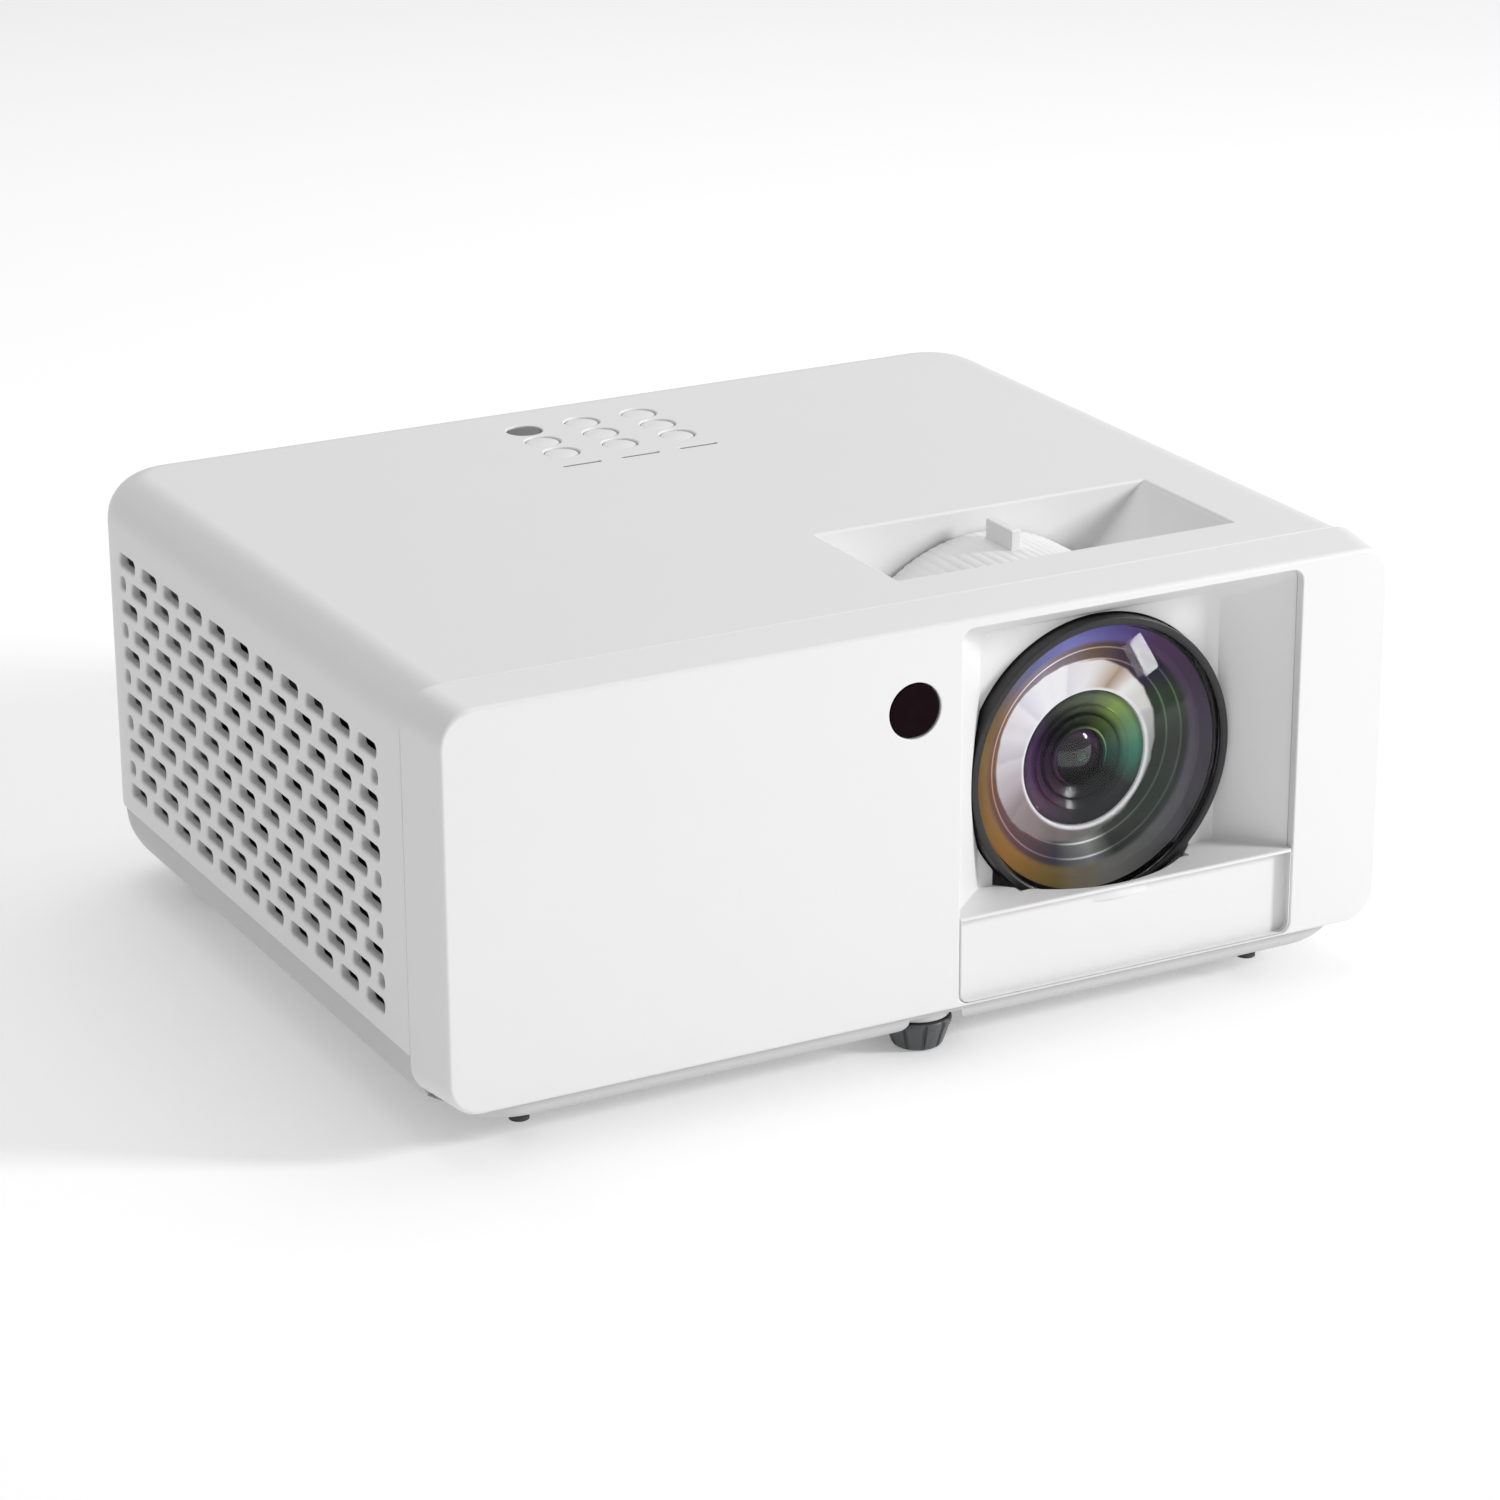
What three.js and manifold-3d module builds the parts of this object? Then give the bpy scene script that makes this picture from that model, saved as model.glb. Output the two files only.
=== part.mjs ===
// Home projector: a compact white laser projector with a short-throw lens, built from separate pieces.
// Millimetres. +Z is up, the lens looks along -Y, +X is to the right seen from the front.
// The origin is the centre of the footprint on the surface that the feet stand on.
import * as THREE from 'three';
import { mergeVertices } from 'three/addons/utils/BufferGeometryUtils.js';
import Module from 'manifold-3d';

const wasm = await Module();
wasm.setup();

// ---- Driving dimensions ----------------------------------------------------------------------
const GAP = 0.3;               // clearance kept between neighbouring pieces
const WALL = 2.6;              // wall of the case
const WIDTH = 274;             // case, along X
const DEPTH = 226;             // case, along Y
const HEIGHT = 117.4;          // top of the case above the surface the feet stand on
const TRAY_Z = 7;              // underside of the tray above that surface
const EDGE = 12;               // rounding of the case's upper edges
const CORNER = 20;             // rounding of the rear corners, seen from above
const SEAM_Z = 24;             // joint between case and tray
const BEZEL_DEPTH = 17;        // front plate to the joint between bezel and case
const BEZEL_INSET = 2.5;       // how far the front plate stands in from the case's sides
const BEZEL_DROP = 1.2;        // how far the front plate's top edge lies below the case's top
const BEZEL_BOTTOM = 12.8;     // lower edge of the front plate
const BEZEL_CORNER = 9;        // rounding of the bezel's corners, seen from the front
const BEZEL_WALL = 1.8;
const PLATE = 2.5;             // thickness of the front plate
const TRAY_WALL = 2.4;
const TRAY_FLARE = 13;         // how far the tray's sides curve in towards its underside
const TRAY_FRONT = 3.2;        // the tray's front face lies this far behind the front plate
const TRAY_INSET = 0.6;        // the tray's other faces lie this far inside the case's

const LENS_IN = 81.3;          // lens axis in from the case's right side
const RIM_R = 38.6;            // outer radius of the lens's retaining ring
const RIM_FRONT = 12;          // ring's front face behind the front plate
const RIM_DEPTH = 9;
const GLASS_R = 36.2;
const GLASS_THICK = 4;
const DOME_RADIUS = 62;        // curvature of the front glass
const TUBE_R = 35;             // lens tube
const TUBE_WALL = 2;
const RECESS_W = 97;           // lens recess, opening in the front plate
const RECESS_LEFT = 47;        // left edge of the recess beside the lens axis
const RECESS_BELOW = 29.4;     // recess floor below the lens axis
const RECESS_RIM = 3.6;        // top of the recess below the case's top
const RECESS_DEPTH = 16;
const RECESS_TAPER = 14.5;     // how much nearer the recess's side walls stand at its back
const RECESS_SINK = 8;         // how much lower its ceiling is at its back
const RECESS_WALL = 1.5;

const FOCUS_R = 44.6;          // focus ring
const FOCUS_BACK = 74.7;       // rear face of the focus ring behind the front plate
const FOCUS_W = 33;
const FOCUS_TAB_H = 5.4;
const FOCUS_TAB_W = 3.2;
const FOCUS_TAB_SINK = 0.8;    // tip of the tab below the case's top
const POCKET_Y0 = 32.4;        // finger recess over the focus ring, behind the front plate
const POCKET_Y1 = 75.5;
const POCKET_DEPTH = 19;
const POCKET_WALL = 2;

const KEY_R = 4.75;
const KEY_FLANGE = 1;          // collar that holds a key under the roof
const KEY_COLLAR_H = 1.4;
const KEY_PLAY = 0.5;          // collar below the roof
const KEY_TRAVEL = 0.6;
const KEY_SPACE_X = 8.3;       // between neighbouring keys, across
const KEY_SPACE_Y = 2.4;       // between neighbouring keys, front to back
const KEYPAD_REAR = 39.8;      // middle of the keypad in front of the case's rear
const LAMP_AHEAD = 24.5;       // row of lamps in front of the keypad's middle
const LAMP_LENGTH = 11.4;
const LAMP_WIDTH = 1.1;

const IR_ASIDE = 15.3;         // axis of the infrared window beside the recess
const IR_BELOW = 22.3;         // infrared window below the case's top
const IR_R = 7;

const SLOT_ROWS = 11;
const SLOT_COLUMNS = 11;
const SLOT_WEB_Y = 2.95;       // solid between neighbouring slots of a row
const SLOT_WEB_Z = 2.25;       // solid between neighbouring rows
const SLOT_LEAN = 0.8;         // slant of a slot's ends
const GRILLE_MARGIN = 1.6;     // solid strip around the field of slots
const GRILLE_FRONT = 12;       // grille behind the joint with the bezel
const GRILLE_REAR = 21.3;      // grille in front of the case's rear
const GRILLE_ABOVE = 3.3;      // grille above the joint with the tray
const GRILLE_BELOW = 16.2;     // grille below the case's top

const FOOT_R = 8.8;            // knob at its top
const FOOT_TOE_R = 6.8;        // knob at its foot
const KNOB_TOP = 8.1;
const STEM_R = 3;
const STEM_PLAY = 0.4;         // bore around a stem
const WELL_R = 12;             // round hollow in the tray above each foot
const FOOT_TRAVEL = 12;
const CLIP_R = 5.2;
const CLIP_H = 1.5;
const FOOT_FRONT_X = 2;
const FOOT_FRONT_IN = 12.5;    // front foot behind the front plate
const FOOT_SIDE_IN = 25;       // rear feet in from the case's sides
const FOOT_REAR_IN = 33;       // rear feet in front of the case's rear

const FAN_THICK = 25;
const FAN_SPACE = 2.4;         // between a fan and the case's side
const BOARD = 1.6;             // thickness of the circuit boards
const BOARD_DEPTH = 49;
const BOARD_AHEAD = 6;         // free space in front of the boards
const IMAGING_SINK = 22;       // depth taken by the imaging board and its heatsink
const POST_TOP = 21.4;         // posts that the boards and the light engine stand on

const PANEL_W = 130;           // rear socket panel
const PANEL_Z0 = 24.6;
const PANEL_Z1 = 46;
const PANEL_THICK = 2;
const PANEL_LAP = 2;           // how far the panel reaches behind the case's wall
const INLET_W = 27;
const INLET_H = 19.4;
const INLET_Z = 38;

// ---- Values that follow from them ------------------------------------------------------------
const FRONT = -DEPTH / 2;
const REAR = DEPTH / 2;
const SEAM_Y = FRONT + BEZEL_DEPTH;
const ROOF = HEIGHT - WALL;
const TRAY_TOP = SEAM_Z - GAP;
const LIP_TOP = BEZEL_BOTTOM - GAP;
const INNER_X = WIDTH / 2 - WALL;
const INNER_Y = REAR - WALL;
const LENS_X = WIDTH / 2 - LENS_IN;
const LENS_Z = HEIGHT - FOCUS_TAB_SINK - FOCUS_TAB_H - FOCUS_R;
const RECESS_X0 = LENS_X - RECESS_LEFT;
const RECESS_X1 = RECESS_X0 + RECESS_W;
const RECESS_FLOOR = LENS_Z - RECESS_BELOW;
const RECESS_TOP = HEIGHT - RECESS_RIM;
const CUP_Y = FRONT + PLATE + GAP;
const RECESS_BACK = FRONT + RECESS_DEPTH;
const IR_X = RECESS_X0 - IR_ASIDE;
const IR_Z = HEIGHT - IR_BELOW;
const KEY_PITCH_X = 2 * KEY_R + KEY_SPACE_X;
const KEY_PITCH_Y = 2 * KEY_R + KEY_SPACE_Y;
const KEYPAD_Y = REAR - KEYPAD_REAR;
const LAMP_Y = KEYPAD_Y - LAMP_AHEAD;
const GRILLE_Y0 = SEAM_Y + GRILLE_FRONT;
const GRILLE_Y1 = REAR - GRILLE_REAR;
const GRILLE_Z0 = SEAM_Z + GRILLE_ABOVE;
const GRILLE_Z1 = HEIGHT - GRILLE_BELOW;
const SLOT_PITCH = (GRILLE_Y1 - GRILLE_Y0 - 2 * GRILLE_MARGIN + SLOT_WEB_Y) / SLOT_COLUMNS;
const SLOT_STEP = (GRILLE_Z1 - GRILLE_Z0 - 2 * GRILLE_MARGIN + SLOT_WEB_Z) / SLOT_ROWS;
const SLOT_LENGTH = SLOT_PITCH - SLOT_WEB_Y;
const SLOT_HEIGHT = SLOT_STEP - SLOT_WEB_Z;
const FOOT_REAR_X = WIDTH / 2 - FOOT_SIDE_IN;
const FOOT_REAR_Y = REAR - FOOT_REAR_IN;
const FEET = {
  front: [FOOT_FRONT_X, FRONT + FOOT_FRONT_IN],
  rear_left: [-FOOT_REAR_X, FOOT_REAR_Y],
  rear_right: [FOOT_REAR_X, FOOT_REAR_Y],
};
const BASE = POST_TOP + GAP;
const BOARD_TOP = BASE + BOARD;
const BOARD_Y1 = INNER_Y - 5.4;
const BOARD_Y0 = BOARD_Y1 - BOARD_DEPTH;
const ENGINE_Y0 = FRONT + POCKET_Y1 + POCKET_WALL + 1;
const ENGINE_Y1 = BOARD_Y0 - BOARD_AHEAD - IMAGING_SINK;
const FAN_SIZE = GRILLE_Z1 - GRILLE_Z0 + 6;
const FAN_Z = (GRILLE_Z0 + GRILLE_Z1) / 2;
const SPEAKER_SIZE = 40;
const SPEAKER_Y = SEAM_Y + 8 + SPEAKER_SIZE / 2;
const EXHAUST = { x: FAN_SPACE - INNER_X, y: SPEAKER_Y + SPEAKER_SIZE / 2 + 4 + FAN_SIZE / 2 };
const INTAKE = { x: INNER_X - FAN_SPACE - FAN_THICK, y: ENGINE_Y0 + 10 + FAN_SIZE / 2 };
const ENGINE_X0 = LENS_X - 43;
const ENGINE_X1 = INTAKE.x - 7;
const LASER_X1 = ENGINE_X0 - 0.8;
const LASER_X0 = LASER_X1 - 53.4;
const PANEL_X0 = 19 + CORNER - WIDTH / 2;
const PANEL_X1 = PANEL_X0 + PANEL_W;
const PANEL_Y1 = INNER_Y - GAP;
const INLET_X = WIDTH / 2 - CORNER - INLET_W / 2 - 1.5;
const POWER_X0 = PANEL_X1 - 4;
const POWER_X1 = FOOT_REAR_X - CLIP_R - 3;
const SOCKET_Z = BOARD_TOP + 9.7;
const SOCKET_FRONT = REAR - 1;

// ---- Helpers -----------------------------------------------------------------------------------
function solid(geometry) {
  const bare = geometry.clone();
  bare.deleteAttribute('normal');
  bare.deleteAttribute('uv');
  const merged = mergeVertices(bare, 1e-4);
  const vertProperties = new Float32Array(merged.attributes.position.array);
  const triVerts = new Uint32Array(merged.index.array);
  return new wasm.Manifold(new wasm.Mesh({ numProp: 3, vertProperties, triVerts }));
}

function geometryOf(body) {
  const mesh = body.getMesh();
  const geometry = new THREE.BufferGeometry();
  geometry.setAttribute('position', new THREE.BufferAttribute(new Float32Array(mesh.vertProperties), 3));
  geometry.setIndex(new THREE.BufferAttribute(new Uint32Array(mesh.triVerts), 1));
  const flat = geometry.toNonIndexed();
  flat.computeVertexNormals();
  return flat;
}

function box(x0, x1, y0, y1, z0, z1) {
  const geometry = new THREE.BoxGeometry(x1 - x0, y1 - y0, z1 - z0);
  geometry.translate((x0 + x1) / 2, (y0 + y1) / 2, (z0 + z1) / 2);
  return geometry;
}

const boxSolid = (...edges) => solid(box(...edges));

// A box whose +Y end has other X and Z limits than its -Y end.
function funnel(front, back, y0, y1) {
  const geometry = box(0, 1, y0, y1, 0, 1);
  const points = geometry.attributes.position;
  for (let i = 0; i < points.count; i += 1) {
    const end = points.getY(i) > (y0 + y1) / 2 ? back : front;
    points.setX(i, points.getX(i) > 0.5 ? end.x1 : end.x0);
    points.setZ(i, points.getZ(i) > 0.5 ? end.z1 : end.z0);
  }
  return solid(geometry);
}

function roundedRect(x0, x1, y0, y1, radius) {
  const shape = new THREE.Shape();
  shape.moveTo(x0 + radius, y0);
  shape.absarc(x1 - radius, y0 + radius, radius, -Math.PI / 2, 0, false);
  shape.absarc(x1 - radius, y1 - radius, radius, 0, Math.PI / 2, false);
  shape.absarc(x0 + radius, y1 - radius, radius, Math.PI / 2, Math.PI, false);
  shape.absarc(x0 + radius, y0 + radius, radius, Math.PI, Math.PI * 1.5, false);
  return shape;
}

function polygon(points) {
  return new THREE.Shape(points.map(([x, y]) => new THREE.Vector2(x, y)));
}

function prismZ(shape, z0, z1, curveSegments = 2) {
  const geometry = new THREE.ExtrudeGeometry(shape, { depth: z1 - z0, bevelEnabled: false, curveSegments });
  geometry.translate(0, 0, z0);
  return geometry;
}

// The shape's own axes become X and Z, and it is extruded from y0 to y1.
function prismY(shape, y0, y1, curveSegments = 2) {
  const geometry = new THREE.ExtrudeGeometry(shape, { depth: y1 - y0, bevelEnabled: false, curveSegments });
  geometry.rotateX(Math.PI / 2);
  geometry.translate(0, y1, 0);
  return geometry;
}

// The shape's own axes become Y and Z, and it is extruded from x0 to x1.
function prismX(shape, x0, x1, curveSegments = 2) {
  const geometry = new THREE.ExtrudeGeometry(shape, { depth: x1 - x0, bevelEnabled: false, curveSegments });
  geometry.rotateX(Math.PI / 2);
  geometry.rotateZ(Math.PI / 2);
  geometry.translate(x0, 0, 0);
  return geometry;
}

function turned(profile, segments) {
  return new THREE.LatheGeometry(profile.map(([r, h]) => new THREE.Vector2(r, h)), segments);
}

// Turned about a vertical axis: the profile gives radius and height.
function turnedZ(x, y, profile, segments) {
  const geometry = turned(profile, segments);
  geometry.rotateX(Math.PI / 2);
  geometry.translate(x, y, 0);
  return geometry;
}

// Turned about a front-to-back axis: the profile gives radius and distance along Y.
function turnedY(x, z, profile, segments) {
  const geometry = turned(profile, segments);
  geometry.translate(x, 0, z);
  return geometry;
}

const discProfile = (radius, h0, h1) => [[0, h0], [radius, h0], [radius, h1], [0, h1]];
const ringProfile = (r0, r1, h0, h1) => [[r0, h0], [r1, h0], [r1, h1], [r0, h1], [r0, h0]];

function cylinderZ(x, y, radius, z0, z1, segments = 24) {
  return solid(turnedZ(x, y, discProfile(radius, z0, z1), segments));
}

function cylinderY(x, z, radius, y0, y1, segments = 40) {
  return solid(turnedY(x, z, discProfile(radius, y0, y1), segments));
}

function cylinderX(y, z, radius, x0, x1, segments = 24) {
  const geometry = turned(discProfile(radius, x0, x1), segments);
  geometry.rotateZ(-Math.PI / 2);
  geometry.translate(0, y, z);
  return solid(geometry);
}

const joined = (parts) => parts.reduce((sum, part) => sum.add(part));

// ---- Materials ---------------------------------------------------------------------------------
const finish = (color, roughness, metalness) => new THREE.MeshStandardMaterial({ color, roughness, metalness });
const plastic = (color, roughness = 0.6) => finish(color, roughness, 0);
const metal = (color, roughness = 0.4) => finish(color, roughness, 0.85);
const whiteShell = () => plastic(0xe8e8e6, 0.55);
const whiteTray = () => plastic(0xcfcfcd, 0.6);
const greyKnob = () => plastic(0x5b5c5e, 0.6);
const blackPlastic = () => plastic(0x17181a, 0.45);
const glossBlack = () => plastic(0x1a0f12, 0.08);
const lensGlass = () => plastic(0x2c2a3a, 0.04);
const circuitGreen = () => plastic(0x1d5a37, 0.5);

const projector = new THREE.Group();
projector.name = 'home_projector';

function place(name, body, material) {
  const geometry = body.isBufferGeometry ? body : geometryOf(body);
  const mesh = new THREE.Mesh(geometry, material);
  mesh.name = name;
  projector.add(mesh);
}

// ---- Case ----------------------------------------------------------------------------------------
// The case's outer form, or with an inset its inner one: rounded above and at the rear corners.
function caseForm(inset, z0) {
  const x = WIDTH / 2 - inset;
  const y = REAR - inset;
  const edge = EDGE - inset;
  const plan = prismZ(roundedRect(-x, x, -y - CORNER, y, CORNER - inset), z0, HEIGHT - inset, 3);
  const across = prismY(roundedRect(-x, x, z0 - edge, HEIGHT - inset, edge), -REAR * 2, REAR * 2, 2);
  const along = prismX(roundedRect(-REAR * 2, y, z0 - edge, HEIGHT - inset, edge), -WIDTH, WIDTH, 2);
  return solid(plan).intersect(solid(across)).intersect(solid(along));
}

const pocketSection = (grow) => polygon([
  [RECESS_X0 - grow, HEIGHT + 1],
  [RECESS_X0 - grow, HEIGHT],
  [RECESS_X0 + POCKET_DEPTH - grow, HEIGHT - POCKET_DEPTH - grow],
  [RECESS_X1 - POCKET_DEPTH + grow, HEIGHT - POCKET_DEPTH - grow],
  [RECESS_X1 + grow, HEIGHT],
  [RECESS_X1 + grow, HEIGHT + 1],
]);

const KEYS = [
  ['key_power', -1, 1], ['key_up', 0, 1], ['key_menu', 1, 1],
  ['key_left', -1, 0], ['key_enter', 0, 0], ['key_right', 1, 0],
  ['key_back', -1, -1], ['key_down', 0, -1], ['key_source', 1, -1],
];
const LAMPS = ['lamp_power', 'lamp_temperature', 'lamp_light'];

function topCase() {
  let shell = caseForm(0, SEAM_Z).subtract(caseForm(WALL, SEAM_Z - 1));
  shell = shell.subtract(boxSolid(-WIDTH, WIDTH, -DEPTH, SEAM_Y, 0, HEIGHT + 1));
  const y0 = FRONT + POCKET_Y0;
  const y1 = FRONT + POCKET_Y1;
  const roofOnly = boxSolid(-WIDTH, WIDTH, -DEPTH, DEPTH, 0, HEIGHT - WALL / 2);
  const around = prismY(pocketSection(POCKET_WALL), y0 - POCKET_WALL, y1 + POCKET_WALL);
  const outer = solid(around).intersect(roofOnly);
  const ringRoom = cylinderY(LENS_X, LENS_Z, FOCUS_R + 0.6, FRONT + FOCUS_BACK - FOCUS_W - 0.8, y1, 48);
  const tubeRoom = cylinderY(LENS_X, LENS_Z, TUBE_R + 1, y0 - 10, y1 + 10, 32);
  shell = shell.add(outer).subtract(solid(prismY(pocketSection(0), y0, y1)));
  shell = shell.subtract(ringRoom).subtract(tubeRoom);
  for (const side of [-1, 1]) {
    const x = side * WIDTH / 2;
    shell = shell.subtract(boxSolid(x - WALL - 1, x + WALL + 1, GRILLE_Y0, GRILLE_Y1, GRILLE_Z0, GRILLE_Z1));
  }
  for (const [, column, row] of KEYS) {
    const x = column * KEY_PITCH_X;
    shell = shell.subtract(cylinderZ(x, KEYPAD_Y + row * KEY_PITCH_Y, KEY_R + GAP, ROOF - 1, HEIGHT + 1, 16));
  }
  for (let i = 0; i < LAMPS.length; i += 1) {
    const x = (i - 1) * KEY_PITCH_X;
    const half = LAMP_LENGTH / 2 + GAP;
    const slot = LAMP_WIDTH / 2 + GAP;
    shell = shell.subtract(boxSolid(x - half, x + half, LAMP_Y - slot, LAMP_Y + slot, ROOF - 1, HEIGHT + 1));
  }
  const panel = [PANEL_X0 + PANEL_LAP, PANEL_X1 - PANEL_LAP, INNER_Y - 1, REAR + 1];
  shell = shell.subtract(boxSolid(...panel, PANEL_Z0 + PANEL_LAP, PANEL_Z1 - PANEL_LAP));
  const inletX = INLET_W / 2 + GAP;
  const inletZ = INLET_H / 2 + GAP;
  const inlet = [INLET_X - inletX, INLET_X + inletX, INNER_Y - 1, REAR + 1];
  return shell.subtract(boxSolid(...inlet, INLET_Z - inletZ, INLET_Z + inletZ));
}

// A slot is a slightly slanted four-sided hole, longer than it is high, cut off at the ends of its field.
function slotShape(y, z, y0, y1) {
  const half = SLOT_LENGTH / 2;
  const rise = SLOT_HEIGHT / 2;
  const low = Math.max(y - half, y0);
  const high = Math.min(y + half, y1);
  const whole = high - low > SLOT_LENGTH - 0.01;
  const lean = whole ? SLOT_LEAN : 0;
  return polygon([[low + lean, z - rise], [high, z - rise], [high - lean, z + rise], [low, z + rise]]);
}

function ventGrille(side) {
  const inner = side > 0 ? INNER_X : -WIDTH / 2;
  const plate = boxSolid(
    inner,
    inner + WALL,
    GRILLE_Y0 + GAP,
    GRILLE_Y1 - GAP,
    GRILLE_Z0 + GAP,
    GRILLE_Z1 - GAP,
  );
  const y0 = GRILLE_Y0 + GRILLE_MARGIN;
  const y1 = GRILLE_Y1 - GRILLE_MARGIN;
  const top = GRILLE_Z1 - GRILLE_MARGIN - SLOT_HEIGHT / 2;
  const slots = [];
  for (let row = 0; row < SLOT_ROWS; row += 1) {
    const shift = row % 2;
    for (let column = 0; column < SLOT_COLUMNS + shift; column += 1) {
      const y = y0 + SLOT_LENGTH / 2 + (column - shift / 2) * SLOT_PITCH;
      const shape = slotShape(y, top - row * SLOT_STEP, y0, y1);
      slots.push(solid(prismX(shape, inner - 1, inner + WALL + 1)));
    }
  }
  return plate.subtract(joined(slots));
}

// ---- Front ---------------------------------------------------------------------------------------
function bezelForm(inset, y0, y1) {
  const half = WIDTH / 2 - inset;
  const section = roundedRect(-half, half, BEZEL_BOTTOM + inset, HEIGHT - inset, BEZEL_CORNER - inset);
  const geometry = prismY(section, y0, y1, 3);
  const points = geometry.attributes.position;
  for (let i = 0; i < points.count; i += 1) {
    const near = (SEAM_Y - points.getY(i)) / BEZEL_DEPTH;
    const z = points.getZ(i);
    points.setX(i, points.getX(i) * (1 - near * BEZEL_INSET / (WIDTH / 2)));
    if (z > HEIGHT / 2) points.setZ(i, z - near * BEZEL_DROP);
  }
  return solid(geometry);
}

const INSERT_Z0 = BEZEL_BOTTOM + 1.1;
const INSERT_CORNER = 3;

function frontBezel() {
  const shell = bezelForm(0, FRONT, SEAM_Y - GAP);
  const hollow = bezelForm(BEZEL_WALL, FRONT + PLATE, SEAM_Y + 1);
  const outline = roundedRect(RECESS_X0, RECESS_X1, INSERT_Z0 - GAP, RECESS_TOP, INSERT_CORNER);
  const opening = solid(prismY(outline, FRONT - 1, FRONT + PLATE + 1));
  const window = cylinderY(IR_X, IR_Z, IR_R + GAP, FRONT - 1, FRONT + PLATE + 1, 32);
  const footRoom = cylinderZ(...FEET.front, FOOT_R + 0.8, 0, SEAM_Z);
  return shell.subtract(hollow).subtract(opening).subtract(window).subtract(footRoom);
}

// Limits at y of the recess's room, which tapers behind the front plate, or with grow those of its outside.
function recessLimits(y, grow) {
  const share = (y - CUP_Y) / (RECESS_BACK - CUP_Y);
  return {
    x0: RECESS_X0 - grow + share * RECESS_TAPER,
    x1: RECESS_X1 + grow - share * RECESS_TAPER,
    z0: RECESS_FLOOR - grow,
    z1: RECESS_TOP + grow - share * RECESS_SINK,
  };
}

const recessForm = (grow, y0, y1) => funnel(recessLimits(y0, grow), recessLimits(y1, grow), y0, y1);

// The recess is a cup behind the front plate whose floor runs out into a panel flush with that plate.
function lensRecess() {
  const x0 = RECESS_X0 + GAP;
  const x1 = RECESS_X1 - GAP;
  const outline = roundedRect(x0, x1, INSERT_Z0, RECESS_FLOOR + 2 * INSERT_CORNER, INSERT_CORNER);
  const panel = solid(prismY(outline, FRONT, FRONT + PLATE));
  const floor = boxSolid(x0, x1, FRONT + 1, CUP_Y + 1, RECESS_FLOOR - RECESS_WALL, RECESS_FLOOR);
  const above = boxSolid(-WIDTH, WIDTH, FRONT - 1, CUP_Y, RECESS_FLOOR, HEIGHT);
  const underRoof = boxSolid(-WIDTH, WIDTH, FRONT, REAR, 0, RECESS_TOP + 0.5);
  const cup = recessForm(RECESS_WALL, CUP_Y, RECESS_BACK + RECESS_WALL).intersect(underRoof);
  const room = recessForm(0, FRONT + 1, RECESS_BACK);
  const lensRoom = cylinderY(LENS_X, LENS_Z, RIM_R + 0.5, FRONT + RIM_FRONT - 3, RECESS_BACK + 5, 48);
  const overFloor = boxSolid(-WIDTH, WIDTH, FRONT, REAR, RECESS_FLOOR, HEIGHT);
  const domeRoom = cylinderY(LENS_X, LENS_Z, RIM_R + 0.5, CUP_Y, FRONT + RIM_FRONT, 48).intersect(overFloor);
  const scoop = 48;
  const reach = Math.sqrt(scoop ** 2 - RECESS_BELOW ** 2);
  const floorCut = cylinderZ(LENS_X, FRONT + 1.5 + reach, reach, RECESS_FLOOR - 4, RECESS_FLOOR + 6, 40);
  const piece = panel.add(floor).add(cup).subtract(above).subtract(room);
  return piece.subtract(lensRoom).subtract(domeRoom).subtract(floorCut);
}

// ---- Tray ----------------------------------------------------------------------------------------
function quarterArc(cx, cy, rx, ry, from, steps) {
  const points = [];
  for (let i = 0; i <= steps; i += 1) {
    const angle = from + (i / steps) * (Math.PI / 2);
    points.push([cx + rx * Math.cos(angle), cy + ry * Math.sin(angle)]);
  }
  return points;
}

function trayForm(inset) {
  const half = WIDTH / 2 - TRAY_INSET - inset;
  const low = TRAY_Z + inset;
  const rise = TRAY_TOP - low;
  const flare = TRAY_FLARE - inset * 0.4;
  const across = polygon([
    [half, TRAY_TOP + 10], [-half, TRAY_TOP + 10],
    ...quarterArc(-half + flare, TRAY_TOP, flare, rise, Math.PI, 3),
    ...quarterArc(half - flare, TRAY_TOP, flare, rise, Math.PI * 1.5, 3),
  ]);
  const front = FRONT + TRAY_FRONT + inset;
  const rear = REAR - TRAY_INSET - inset;
  const along = polygon([
    [rear, TRAY_TOP + 10], [front, TRAY_TOP + 10],
    ...quarterArc(front + 4, low + 4, 4, 4, Math.PI, 2),
    ...quarterArc(rear - 12, low + 12, 12, 12, Math.PI * 1.5, 3),
  ]);
  const plan = prismZ(roundedRect(-half, half, front, rear, CORNER - inset), low, TRAY_TOP + 8, 3);
  const sides = solid(prismY(across, -DEPTH, DEPTH));
  const ends = solid(prismX(along, -WIDTH, WIDTH));
  return solid(plan).intersect(sides).intersect(ends);
}

const POSTS = [
  [ENGINE_X0 + 10, ENGINE_Y0 + 12], [ENGINE_X1 - 10, ENGINE_Y0 + 12], [LENS_X, ENGINE_Y1 - 10],
  [LASER_X0 + 6, ENGINE_Y0 + 14], [LASER_X1 - 10, ENGINE_Y0 + 44], [EXHAUST.x + 38, ENGINE_Y0 + 6],
  [LASER_X0 - 10, ENGINE_Y0 + 52], [PANEL_X0 + 4, BOARD_Y0 + 6], [PANEL_X1 - 18, BOARD_Y0 + 6],
  [PANEL_X0 + 58, BOARD_Y1 - 7], [POWER_X0 + 6, BOARD_Y0 + 8], [POWER_X1 - 6, BOARD_Y0 + 8],
  [POWER_X0 + 6, BOARD_Y1 - 5],
];

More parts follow.
